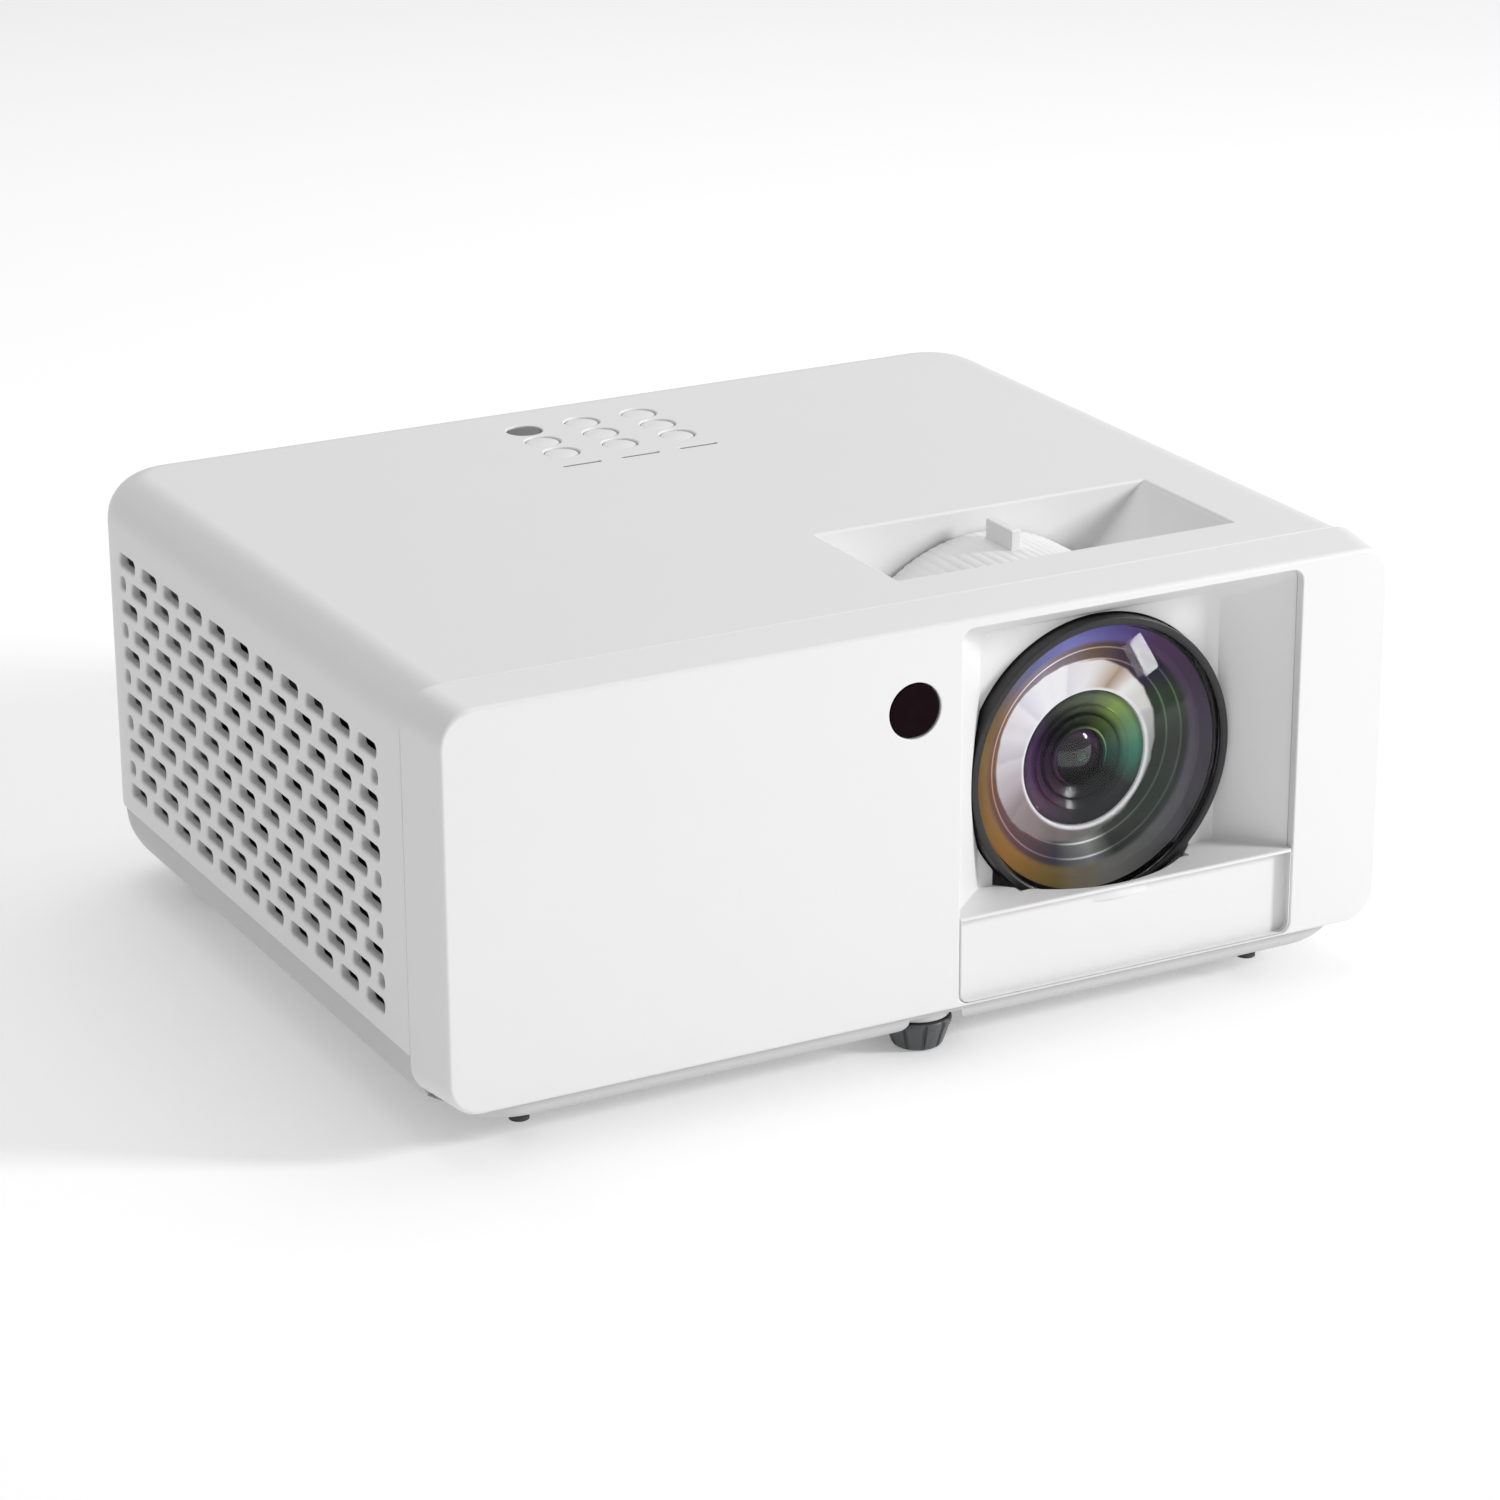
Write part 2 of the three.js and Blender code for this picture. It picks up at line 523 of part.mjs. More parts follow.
function bottomCase() {
  const web = 1.6;
  const outside = trayForm(0);
  let tray = outside.subtract(trayForm(TRAY_WALL));
  tray = tray.subtract(boxSolid(-WIDTH, WIDTH, -DEPTH, DEPTH, TRAY_TOP, HEIGHT));
  tray = tray.subtract(boxSolid(-WIDTH, WIDTH, -DEPTH, SEAM_Y + GAP, LIP_TOP, HEIGHT));
  const boss = [[0, KNOB_TOP + GAP], [FOOT_R - 0.5, KNOB_TOP + GAP], [FOOT_R + 0.4, LIP_TOP], [0, LIP_TOP]];
  for (const [x, y] of Object.values(FEET)) {
    const well = cylinderZ(x, y, WELL_R + web, TRAY_Z, LIP_TOP, 32).intersect(outside);
    tray = tray.add(well).subtract(cylinderZ(x, y, WELL_R, 0, LIP_TOP - web, 32));
    tray = tray.add(solid(turnedZ(x, y, boss, 24)));
    tray = tray.subtract(cylinderZ(x, y, STEM_R + STEM_PLAY, 0, SEAM_Z, 12));
  }
  for (const [x, y] of POSTS) tray = tray.add(cylinderZ(x, y, 3, TRAY_Z + TRAY_WALL - 1, POST_TOP, 6));
  return tray;
}

// ---- Lens ----------------------------------------------------------------------------------------
function domeProfile(radius, apex, thickness, rim, steps) {
  const outer = [];
  const inner = [];
  for (let i = 0; i <= steps; i += 1) {
    const r = (rim * i) / steps;
    outer.push([r, apex + radius - Math.sqrt(radius * radius - r * r)]);
    const bend = radius - thickness;
    inner.unshift([r, apex + thickness + bend - Math.sqrt(bend * bend - r * r)]);
  }
  return [...outer, ...inner];
}

function lensPieces() {
  const segments = 36;
  const rimY = FRONT + RIM_FRONT;
  const rimBack = rimY + RIM_DEPTH;
  const sag = DOME_RADIUS - Math.sqrt(DOME_RADIUS ** 2 - GLASS_R ** 2);
  const apex = rimY - sag + 0.6;
  const lip = GLASS_R + GAP;
  const shelf = TUBE_R - 4;
  const rim = [[lip, rimY], [RIM_R, rimY], [RIM_R, rimBack], [shelf, rimBack], [shelf, rimBack - 2],
    [lip, rimBack - 2], [lip, rimY]];
  place('lens_rim', turnedY(LENS_X, LENS_Z, rim, segments), blackPlastic());
  const dome = domeProfile(DOME_RADIUS, apex, GLASS_THICK, GLASS_R, 4);
  place('lens_front_glass', turnedY(LENS_X, LENS_Z, dome, segments), lensGlass());
  const start = rimBack + GAP;
  const outer = TUBE_R - TUBE_WALL;
  const cone = [[outer - 3, start], [outer, start], [outer, start + 20], [15, start + 20], [15, start + 17],
    [19, start + 17], [19, start + 10], [outer - 3, start + 3], [outer - 3, start]];
  place('lens_baffle', turnedY(LENS_X, LENS_Z, cone, 24), blackPlastic());
  const inner = domeProfile(26, start + 6, 5, 14.6, 3);
  place('lens_inner_glass', turnedY(LENS_X, LENS_Z, inner, 20), lensGlass());
  const tube = ringProfile(outer + GAP, TUBE_R, start + 1, ENGINE_Y0 - 0.4);
  place('lens_tube', turnedY(LENS_X, LENS_Z, tube, segments), blackPlastic());
}

function focusRing() {
  const back = FRONT + FOCUS_BACK;
  const half = FOCUS_TAB_W / 2;
  const profile = ringProfile(TUBE_R + GAP + 0.2, FOCUS_R, back - FOCUS_W, back);
  const ring = solid(turnedY(LENS_X, LENS_Z, profile, 48));
  const tabTop = LENS_Z + FOCUS_R + FOCUS_TAB_H;
  const tab = boxSolid(LENS_X - half, LENS_X + half, back - 19, back - 6, LENS_Z + FOCUS_R - 2, tabTop);
  return ring.add(tab);
}

// ---- Keys and lamps --------------------------------------------------------------------------
function keyProfile() {
  const top = HEIGHT - 0.1;
  const collar = KEY_R + KEY_FLANGE;
  const high = ROOF - KEY_PLAY;
  const low = high - KEY_COLLAR_H;
  return [[0, low], [collar, low], [collar, high], [KEY_R, high], [KEY_R, top], [0, top - 0.5]];
}

function controls() {
  for (const [name, column, row] of KEYS) {
    const x = column * KEY_PITCH_X;
    const material = name === 'key_power' ? greyKnob() : whiteShell();
    place(name, turnedZ(x, KEYPAD_Y + row * KEY_PITCH_Y, keyProfile(), 16), material);
  }
  LAMPS.forEach((name, i) => {
    const x = (i - 1) * KEY_PITCH_X;
    const half = LAMP_LENGTH / 2;
    const slot = LAMP_WIDTH / 2;
    const bar = box(x - half, x + half, LAMP_Y - slot, LAMP_Y + slot, ROOF - 3, HEIGHT - 0.2);
    place(name, bar, plastic(0xb9bcbe, 0.3));
  });
  const boardTop = ROOF - KEY_PLAY - KEY_COLLAR_H - KEY_TRAVEL - GAP;
  const halfX = KEY_PITCH_X + 14;
  const halfY = KEY_PITCH_Y + 6.5;
  let board = boxSolid(-halfX, halfX, KEYPAD_Y - halfY, KEYPAD_Y + halfY, boardTop - 2 - BOARD, boardTop - 2);
  for (const [, column, row] of KEYS) {
    const x = column * KEY_PITCH_X;
    const y = KEYPAD_Y + row * KEY_PITCH_Y;
    board = board.add(boxSolid(x - 3, x + 3, y - 3, y + 3, boardTop - 2.2, boardTop));
  }
  place('keypad_board', board, circuitGreen());
}

// ---- Feet ----------------------------------------------------------------------------------------
function foot(name, x, y) {
  const ringZ = LIP_TOP + FOOT_TRAVEL + 0.4;
  const top = ringZ + CLIP_H + 0.7;
  const profile = [[0, 0], [FOOT_TOE_R - 0.8, 0], [FOOT_TOE_R, 1], [FOOT_R, KNOB_TOP - 1.2], [FOOT_R, KNOB_TOP],
    [STEM_R, KNOB_TOP], [STEM_R, top], [0, top]];
  place(`${name}_foot`, turnedZ(x, y, profile, 20), greyKnob());
  const clip = turnedZ(x, y, ringProfile(STEM_R + GAP, CLIP_R, ringZ, ringZ + CLIP_H), 12);
  place(`${name}_foot_clip`, clip, metal(0xb5b7ba));
}

// ---- Cooling -------------------------------------------------------------------------------------
function fan(name, { x: x0, y }) {
  const z = FAN_Z;
  const half = FAN_SIZE / 2;
  const x1 = x0 + FAN_THICK;
  const middle = (x0 + x1) / 2;
  let frame = solid(prismX(roundedRect(y - half, y + half, z - half, z + half, 5), x0, x1, 1));
  frame = frame.subtract(cylinderX(y, z, half - 2.5, x0 - 1, x1 + 1, 32));
  const strut = 2;
  frame = frame.add(boxSolid(x0, x0 + 3, y - half + 1, y + half - 1, z - strut, z + strut));
  frame = frame.add(boxSolid(x0, x0 + 3, y - strut, y + strut, z - half + 1, z + half - 1));
  place(`${name}_fan_frame`, frame, blackPlastic());
  let rotor = cylinderX(y, z, 17, x0 + 4, x1 - 2, 24);
  const blades = 7;
  for (let i = 0; i < blades; i += 1) {
    const blade = new THREE.BoxGeometry(1.4, 14, half - 21);
    blade.rotateZ(0.7);
    blade.translate(0, 0, 16 + (half - 21) / 2);
    blade.rotateX((i / blades) * Math.PI * 2);
    blade.translate(middle, y, z);
    rotor = rotor.add(solid(blade));
  }
  place(`${name}_fan_rotor`, rotor, blackPlastic());
}

function finned(x0, x1, y0, y1, z0, z1, base, fins) {
  let sink = boxSolid(x0, x1, y0, y0 + base, z0, z1);
  const pitch = (x1 - x0 - 1.4) / (fins - 1);
  for (let i = 0; i < fins; i += 1) {
    const x = x0 + i * pitch;
    sink = sink.add(boxSolid(x, x + 1.4, y0 + base - 0.5, y1, z0, z1));
  }
  return sink;
}

// ---- Light engine --------------------------------------------------------------------------------
function lightEngine() {
  const low = LENS_Z - 30;
  const high = LENS_Z + 31.4;
  let engine = boxSolid(ENGINE_X0 + 6, ENGINE_X1 - 6, ENGINE_Y0 + 6, ENGINE_Y1, low, high);
  engine = engine.add(boxSolid(ENGINE_X0, ENGINE_X1, ENGINE_Y0 + 8, ENGINE_Y1 - 4, BASE, low + 2));
  engine = engine.add(cylinderY(LENS_X, LENS_Z, TUBE_R + 2, ENGINE_Y0, ENGINE_Y0 + 8, 32));
  place('optical_engine', engine, metal(0x8f9296, 0.5));
  const boardY = ENGINE_Y1 + GAP;
  const chip = boxSolid(LENS_X - 27, ENGINE_X1 - 14, boardY, boardY + BOARD, low + 6, high - 4);
  place('imaging_board', chip, circuitGreen());
  const sinkY = boardY + BOARD + GAP;
  const imagingSink = finned(LENS_X - 23, ENGINE_X1 - 18, sinkY, BOARD_Y0 - BOARD_AHEAD, low + 10, high - 8, 4, 8);
  place('imaging_heatsink', imagingSink, metal(0xa9adb1));
  const laserY0 = ENGINE_Y0 + 8.5;
  const laserY1 = ENGINE_Y1 - 12;
  const laser = boxSolid(LASER_X0, LASER_X1, laserY0, laserY1, BASE, LENS_Z + 17);
  const bank = boxSolid(LASER_X0 + 4, LASER_X1 - 4, laserY1 - 1, laserY1 + 4, 34, LENS_Z + 9);
  place('laser_module', laser.add(bank), metal(0x77797d, 0.45));
  const sinkX0 = EXHAUST.x + FAN_THICK + 7;
  const sink = finned(sinkX0, LASER_X0 - 1, laserY0 - 6, laserY1 + 6, BASE, LENS_Z + 23, 5, 10);
  place('laser_heatsink', sink, metal(0xa9adb1));
  const axisX = LASER_X0 + 24;
  const axisZ = LENS_Z - 10.6;
  const wheelY = laserY0 - 18;
  place('wheel_motor', cylinderY(axisX, axisZ, 10, wheelY + 2, laserY0 - GAP, 24), metal(0x55575a));
  const disc = cylinderY(axisX, axisZ, 25, wheelY, wheelY + 2 - GAP, 32);
  const hub = cylinderY(axisX, axisZ, 7, wheelY - 2, wheelY + 1, 16);
  place('phosphor_wheel', disc.add(hub), metal(0xc9b45a, 0.35));
}

// ---- Boards, sound and rear sockets ----------------------------------------------------------
function boards() {
  const under = BOARD_TOP - 0.5;
  const mainX0 = PANEL_X0 - 2;
  const mainX1 = POWER_X0 - 3;
  let main = boxSolid(mainX0, mainX1, BOARD_Y0, BOARD_Y1, BASE, BOARD_TOP);
  main = main.add(boxSolid(mainX0 + 40, mainX0 + 70, BOARD_Y0 + 6, BOARD_Y0 + 32, under, BOARD_TOP + 3));
  main = main.add(boxSolid(mainX0 + 16, mainX0 + 30, BOARD_Y0 + 4, BOARD_Y0 + 18, under, BOARD_TOP + 8));
  place('main_board', main, circuitGreen());
  const span = POWER_X1 - POWER_X0;
  const coilX = POWER_X0 + span * 0.08;
  const canX = POWER_X0 + span * 0.62;
  let power = boxSolid(POWER_X0, POWER_X1, BOARD_Y0, BOARD_Y1, BASE, BOARD_TOP);
  power = power.add(boxSolid(coilX, coilX + span * 0.3, BOARD_Y0 + 8, BOARD_Y0 + 30, under, BOARD_TOP + 24));
  power = power.add(cylinderZ(canX, BOARD_Y0 + 14, 8, under, BOARD_TOP + 28, 16));
  power = power.add(cylinderZ(canX, BOARD_Y0 + 29, 6, under, BOARD_TOP + 22, 16));
  place('power_board', power, circuitGreen());
  const top = BOARD_TOP + 38.7;
  const sheet = 1;
  const [x0, x1] = [mainX0 - 2, mainX1 + 2];
  const [y0, y1] = [BOARD_Y0 - 2, BOARD_Y0 + 32];
  let shield = boxSolid(x0, x1, y0, y1, top, top + sheet);
  shield = shield.add(boxSolid(x0, x0 + sheet, y0, y1, BASE, top + sheet / 2));
  shield = shield.add(boxSolid(x1 - sheet, x1, y0, y1, BASE, top + sheet / 2));
  place('board_shield', shield, metal(0xc3c6c8, 0.35));
}

function speaker() {
  const x = EXHAUST.x + 20;
  const half = SPEAKER_SIZE / 2;
  let body = boxSolid(x - 12, x - 9, SPEAKER_Y - half, SPEAKER_Y + half, FAN_Z - half, FAN_Z + half);
  body = body.subtract(cylinderX(SPEAKER_Y, FAN_Z, half - 3, x - 13, x - 8, 24));
  const rim = half - 2.5;
  const cone = [[0, x - 6], [7, x - 6], [rim, x - 11.4], [rim, x - 9.5], [9, x - 4], [9, x + 6], [0, x + 6]];
  const geometry = turned(cone, 24);
  geometry.rotateZ(-Math.PI / 2);
  geometry.translate(0, SPEAKER_Y, FAN_Z);
  return body.add(solid(geometry));
}

const SOCKETS = [
  ['hdmi_socket_1', PANEL_X0 + 20, 15, 5.6], ['hdmi_socket_2', PANEL_X0 + 46, 15, 5.6],
  ['usb_socket', PANEL_X0 + 71, 14.6, 7], ['audio_socket', PANEL_X0 + 91, 8, 8],
  ['serial_socket', PANEL_X0 + 110, 22, 11],
];

function socket(name, x, w, h) {
  const z = SOCKET_Z;
  const nose = boxSolid(x - w / 2, x + w / 2, SOCKET_FRONT - 17, SOCKET_FRONT, z - h / 2, z + h / 2);
  const seat = boxSolid(x - w / 2, x + w / 2, SOCKET_FRONT - 17, SOCKET_FRONT - 10.5, BOARD_TOP + GAP, z);
  const shell = nose.add(seat);
  if (name === 'audio_socket') return shell.subtract(cylinderY(x, z, 1.8, SOCKET_FRONT - 14, REAR, 16));
  const lip = 0.5;
  const deep = name === 'serial_socket' ? 1.2 : 10;
  const low = SOCKET_FRONT - deep;
  const mouth = boxSolid(x - w / 2 + lip, x + w / 2 - lip, low, REAR, z - h / 2 + lip, z + h / 2 - lip);
  const tongueW = w / 2 - 2.2;
  const tongueH = name === 'serial_socket' ? h / 2 - 1.6 : 0.8;
  const tongue = boxSolid(x - tongueW, x + tongueW, low - 1, SOCKET_FRONT - 0.6, z - tongueH, z + tongueH);
  return shell.subtract(mouth).add(tongue);
}

function mainsInlet() {
  const half = INLET_W / 2;
  const rise = INLET_H / 2;
  const body = boxSolid(INLET_X - half, INLET_X + half, REAR - 20, REAR, INLET_Z - rise, INLET_Z + rise);
  const mouth = [INLET_X - half + 1.5, INLET_X + half - 1.5, REAR - 16, REAR + 1];
  let inlet = body.subtract(boxSolid(...mouth, INLET_Z - rise + 1.5, INLET_Z + rise - 1.5));
  for (const [dx, dz] of [[-7, -2], [0, 2], [7, -2]]) {
    const pin = [INLET_X + dx - 1, INLET_X + dx + 1, REAR - 17, REAR - 5];
    inlet = inlet.add(boxSolid(...pin, INLET_Z + dz - 2, INLET_Z + dz + 2));
  }
  return inlet;
}

function rearPanel() {
  let panel = boxSolid(PANEL_X0, PANEL_X1, PANEL_Y1 - PANEL_THICK, PANEL_Y1, PANEL_Z0, PANEL_Z1);
  for (const [, x, w, h] of SOCKETS) {
    const half = w / 2 + GAP;
    const rise = h / 2 + GAP;
    const hole = [x - half, x + half, PANEL_Y1 - PANEL_THICK - 1, REAR];
    panel = panel.subtract(boxSolid(...hole, SOCKET_Z - rise, SOCKET_Z + rise));
  }
  return panel;
}

// ---- Assembly ------------------------------------------------------------------------------------
place('top_case', topCase(), whiteShell());
place('front_bezel', frontBezel(), whiteShell());
place('lens_recess', lensRecess(), whiteShell());
place('bottom_case', bottomCase(), whiteTray());
place('left_vent_grille', ventGrille(-1), whiteShell());
place('right_vent_grille', ventGrille(1), whiteShell());
place('rear_socket_panel', rearPanel(), plastic(0xd6d6d4, 0.6));
place('ir_window', cylinderY(IR_X, IR_Z, IR_R, FRONT + 0.1, FRONT + PLATE - 0.3, 28), glossBlack());
place('ir_receiver', boxSolid(IR_X - 5, IR_X + 5, FRONT + 5, FRONT + 7, IR_Z - 7, IR_Z + 7), circuitGreen());
lensPieces();
place('focus_ring', focusRing(), plastic(0xc9cac8, 0.5));
controls();
for (const [name, [x, y]] of Object.entries(FEET)) foot(name, x, y);
for (const [name, x] of [['front_pad_left', FOOT_SIDE_IN - WIDTH / 2], ['front_pad_right', ENGINE_X1]]) {
  place(name, cylinderZ(x, FRONT + 9, 2.6, TRAY_Z - 1.6, TRAY_Z - GAP, 16), plastic(0x3a3a3c, 0.9));
}
lightEngine();
fan('exhaust', EXHAUST);
fan('intake', INTAKE);
boards();
place('speaker', speaker(), blackPlastic());
for (const [name, x, w, h] of SOCKETS) place(name, socket(name, x, w, h), metal(0xbfc1c4, 0.35));
place('mains_inlet', mainsInlet(), blackPlastic());

export default projector;
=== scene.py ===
"""Looks of a home projector: fine meshes, materials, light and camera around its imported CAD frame.

Shapes are worked out in millimetres and stored in metres. +Z is up, the lens looks along -Y.
"""

import math

import bmesh
import bpy
import numpy as np
from mathutils import Matrix, Vector


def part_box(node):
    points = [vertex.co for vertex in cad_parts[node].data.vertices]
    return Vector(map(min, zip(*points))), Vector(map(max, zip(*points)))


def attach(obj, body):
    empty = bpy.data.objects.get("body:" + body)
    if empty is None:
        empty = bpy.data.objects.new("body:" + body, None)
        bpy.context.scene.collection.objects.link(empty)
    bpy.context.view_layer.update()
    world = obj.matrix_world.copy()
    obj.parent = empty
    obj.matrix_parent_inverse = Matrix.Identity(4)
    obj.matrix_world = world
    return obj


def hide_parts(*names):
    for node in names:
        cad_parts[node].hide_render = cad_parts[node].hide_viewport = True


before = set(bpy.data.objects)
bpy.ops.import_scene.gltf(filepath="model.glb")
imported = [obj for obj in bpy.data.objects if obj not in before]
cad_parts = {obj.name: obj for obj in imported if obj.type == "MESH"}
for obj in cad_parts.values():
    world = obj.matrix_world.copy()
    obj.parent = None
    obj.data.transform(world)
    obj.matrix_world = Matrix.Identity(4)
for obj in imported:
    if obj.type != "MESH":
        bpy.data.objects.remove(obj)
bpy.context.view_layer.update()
MM = 0.001
HOUSING = "housing"


def limits(node):
    """A CAD node's edges in millimetres: x0, x1, y0, y1, z0, z1."""
    low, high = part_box(node)
    return [value / MM for pair in zip(low, high) for value in pair]


# ---- Sizes, from the frame ------------------------------------------------------------------
CASE = limits("top_case")
BEZEL = limits("front_bezel")
INSERT = limits("lens_recess")
TRAY = limits("bottom_case")
RING = limits("focus_ring")
RIM = limits("lens_rim")
DOME = limits("lens_front_glass")
HALF = CASE[1]
REAR = CASE[3]
HEIGHT = CASE[5]
SEAM_Z = CASE[4]
SEAM_Y = CASE[2]
FRONT = BEZEL[2]
WALL = 2.6
EDGE = 12.0
CORNER = 20.0
GAP = 0.3
LEDGE = 0.25
BEZEL_INSET = 2.5
BEZEL_DROP = 1.2
BEZEL_CORNER = 9.0
BEZEL_ROUND = 1.2
BEZEL_WALL = 1.8
PLATE = 2.5
TRAY_FLARE = 13.0
TRAY_WALL = 2.4
WELL_R = 12.0
WELL_WALL = 1.6
KNOB_TOP = 8.1
BORE_R = 3.4
LENS_X = (RIM[0] + RIM[1]) / 2
LENS_Z = (RIM[4] + RIM[5]) / 2
RIM_R = (RIM[1] - RIM[0]) / 2
RIM_Y = RIM[2]
BARREL_X = LENS_X + 1.6
BARREL_Z = LENS_Z - 2.8
BARREL_R = 18.2
CORE_R = 7.0
RECESS = (INSERT[0] - GAP, INSERT[1] + GAP, LENS_Z - 29.4, HEIGHT - 3.6)
CUP_Y = FRONT + PLATE + GAP
RECESS_BACK = FRONT + 16.0
RECESS_TAPER = 14.5
RECESS_SINK = 8.0
FOCUS_R = LENS_Z - RING[4]
POCKET = (RECESS[0], RECESS[1], FRONT + 32.4, FRONT + 75.5)
POCKET_DEPTH = 17.7
POCKET_WALL = 2.0
POCKET_CORNER = 0.4
POCKET_RIM = 0.7
RECESS_WALL = 1.5
INSERT_CORNER = 3.0
SCOOP = 48.0
FOOT_NAMES = ("front", "rear_left", "rear_right")
FAR = 200.0


# ---- Mesh helpers ---------------------------------------------------------------------------
def mesh_object(name, verts, faces):
    mesh = bpy.data.meshes.new(name)
    mesh.from_pydata([Vector(v) * MM for v in verts], [], faces)
    mesh.validate()
    obj = bpy.data.objects.new(name, mesh)
    bpy.context.scene.collection.objects.link(obj)
    tidy(obj)
    return obj


def tidy(obj):
    """Merged points, and every face looking outwards."""
    work = bmesh.new()
    work.from_mesh(obj.data)
    bmesh.ops.remove_doubles(work, verts=work.verts, dist=1e-6)
    bmesh.ops.recalc_face_normals(work, faces=work.faces)
    work.to_mesh(obj.data)
    work.free()


def stack(name, rings, closed=False):
    """A solid lofted through rings of equally many points, capped unless the last ring meets the first."""
    count = len(rings[0])
    verts = [point for ring in rings for point in ring]
    faces = []
    spans = len(rings) if closed else len(rings) - 1
    for i in range(spans):
        a = i * count
        b = ((i + 1) % len(rings)) * count
        for j in range(count):
            k = (j + 1) % count
            faces.append((a + j, a + k, b + k, b + j))
    if not closed:
        faces.append(tuple(reversed(range(count))))
        faces.append(tuple(len(verts) - count + j for j in range(count)))
    return mesh_object(name, verts, faces)


def rounded(x0, x1, y0, y1, radius, steps=8):
    """A rounded rectangle, anticlockwise; radius is one number or one for each corner."""
    radii = radius if hasattr(radius, "__len__") else (radius,) * 4
    corners = [(x1, y0, -90), (x1, y1, 0), (x0, y1, 90), (x0, y0, 180)]
    points = []
    for (x, y, start), r in zip(corners, radii):
        cx = x - r if x == x1 else x + r
        cy = y - r if y == y1 else y + r
        for i in range(steps + 1):
            angle = math.radians(start + 90 * i / steps)
            points.append((cx + r * math.cos(angle), cy + r * math.sin(angle)))
    return points


def circle(x, y, radius, steps=48):
    turn = 2 * math.pi / steps
    return [(x + radius * math.cos(i * turn), y + radius * math.sin(i * turn)) for i in range(steps)]


def fillet(radius, steps=4):
    """Steps of a rounded rim as (grow, depth), from the wall up to the face."""
    turn = math.pi / 2 / steps
    return [(radius * (1 - math.cos(i * turn)), radius * (1 - math.sin(i * turn))) for i in range(steps + 1)]


TO_TOP = lambda u, v, h: (u, v, HEIGHT + h)
TO_FRONT = lambda u, v, h: (u, FRONT - h, v)
TO_REAR = lambda u, v, h: (u, REAR + h, v)
TO_LEFT = lambda u, v, h: (-HALF - h, u, v)
TO_RIGHT = lambda u, v, h: (HALF + h, u, v)


def cutter(outline, face, depth, rim):
    """A plug whose cut leaves a rounded rim; outline(grow) gives the hole's outline."""
    steps = [(0, depth), *fillet(rim), (rim, -2)]
    return stack("cutter", [[face(u, v, -down) for u, v in outline(grow)] for grow, down in steps])


def rect_outline(x0, x1, y0, y1, radius, steps=6):
    return lambda grow: rounded(x0 - grow, x1 + grow, y0 - grow, y1 + grow, radius + grow, steps)


def round_outline(x, y, radius, steps=48):
    return lambda grow: circle(x, y, radius + grow, steps)


def boolean(obj, operation, others):
    for other in others:
        step = obj.modifiers.new("step", "BOOLEAN")
        step.operation = operation
        step.solver = "EXACT"
        step.object = other
    graph = bpy.context.evaluated_depsgraph_get()
    mesh = bpy.data.meshes.new_from_object(obj.evaluated_get(graph))
    obj.modifiers.clear()
    obj.data = mesh
    for other in others:
        bpy.data.objects.remove(other)
    return obj


def soften(obj, offset, segments=2, chosen=lambda a, b: True, angle=30):
    """Rounds the edges sharper than angle whose two ends pass the test."""
    work = bmesh.new()
    work.from_mesh(obj.data)
    bmesh.ops.dissolve_limit(work, angle_limit=math.radians(0.2), verts=work.verts, edges=work.edges)
    edges = []
    for edge in work.edges:
        if len(edge.link_faces) == 2 and edge.calc_face_angle(0) > math.radians(angle):
            if chosen(edge.verts[0].co / MM, edge.verts[1].co / MM):
                edges.append(edge)
    bmesh.ops.bevel(
        work,
        geom=edges,
        offset=offset * MM,
        segments=segments,
        profile=0.5,
        affect="EDGES",
        clamp_overlap=True,
    )
    work.to_mesh(obj.data)
    work.free()
    return obj


def turned(name, profile, centre, axis="Z", steps=96, closed=False):
    """Turned about an upright or a front-to-back axis; the profile gives radius and place along the axis."""
    x, other = centre
    if axis == "Z":
        place = lambda u, v, h: (x + u, other + v, h)
    else:
        place = lambda u, v, h: (x + u, h, other + v)
    rings = [[place(u, v, h) for u, v in circle(0, 0, max(r, 0.01), steps)] for r, h in profile]
    return stack(name, rings, closed)


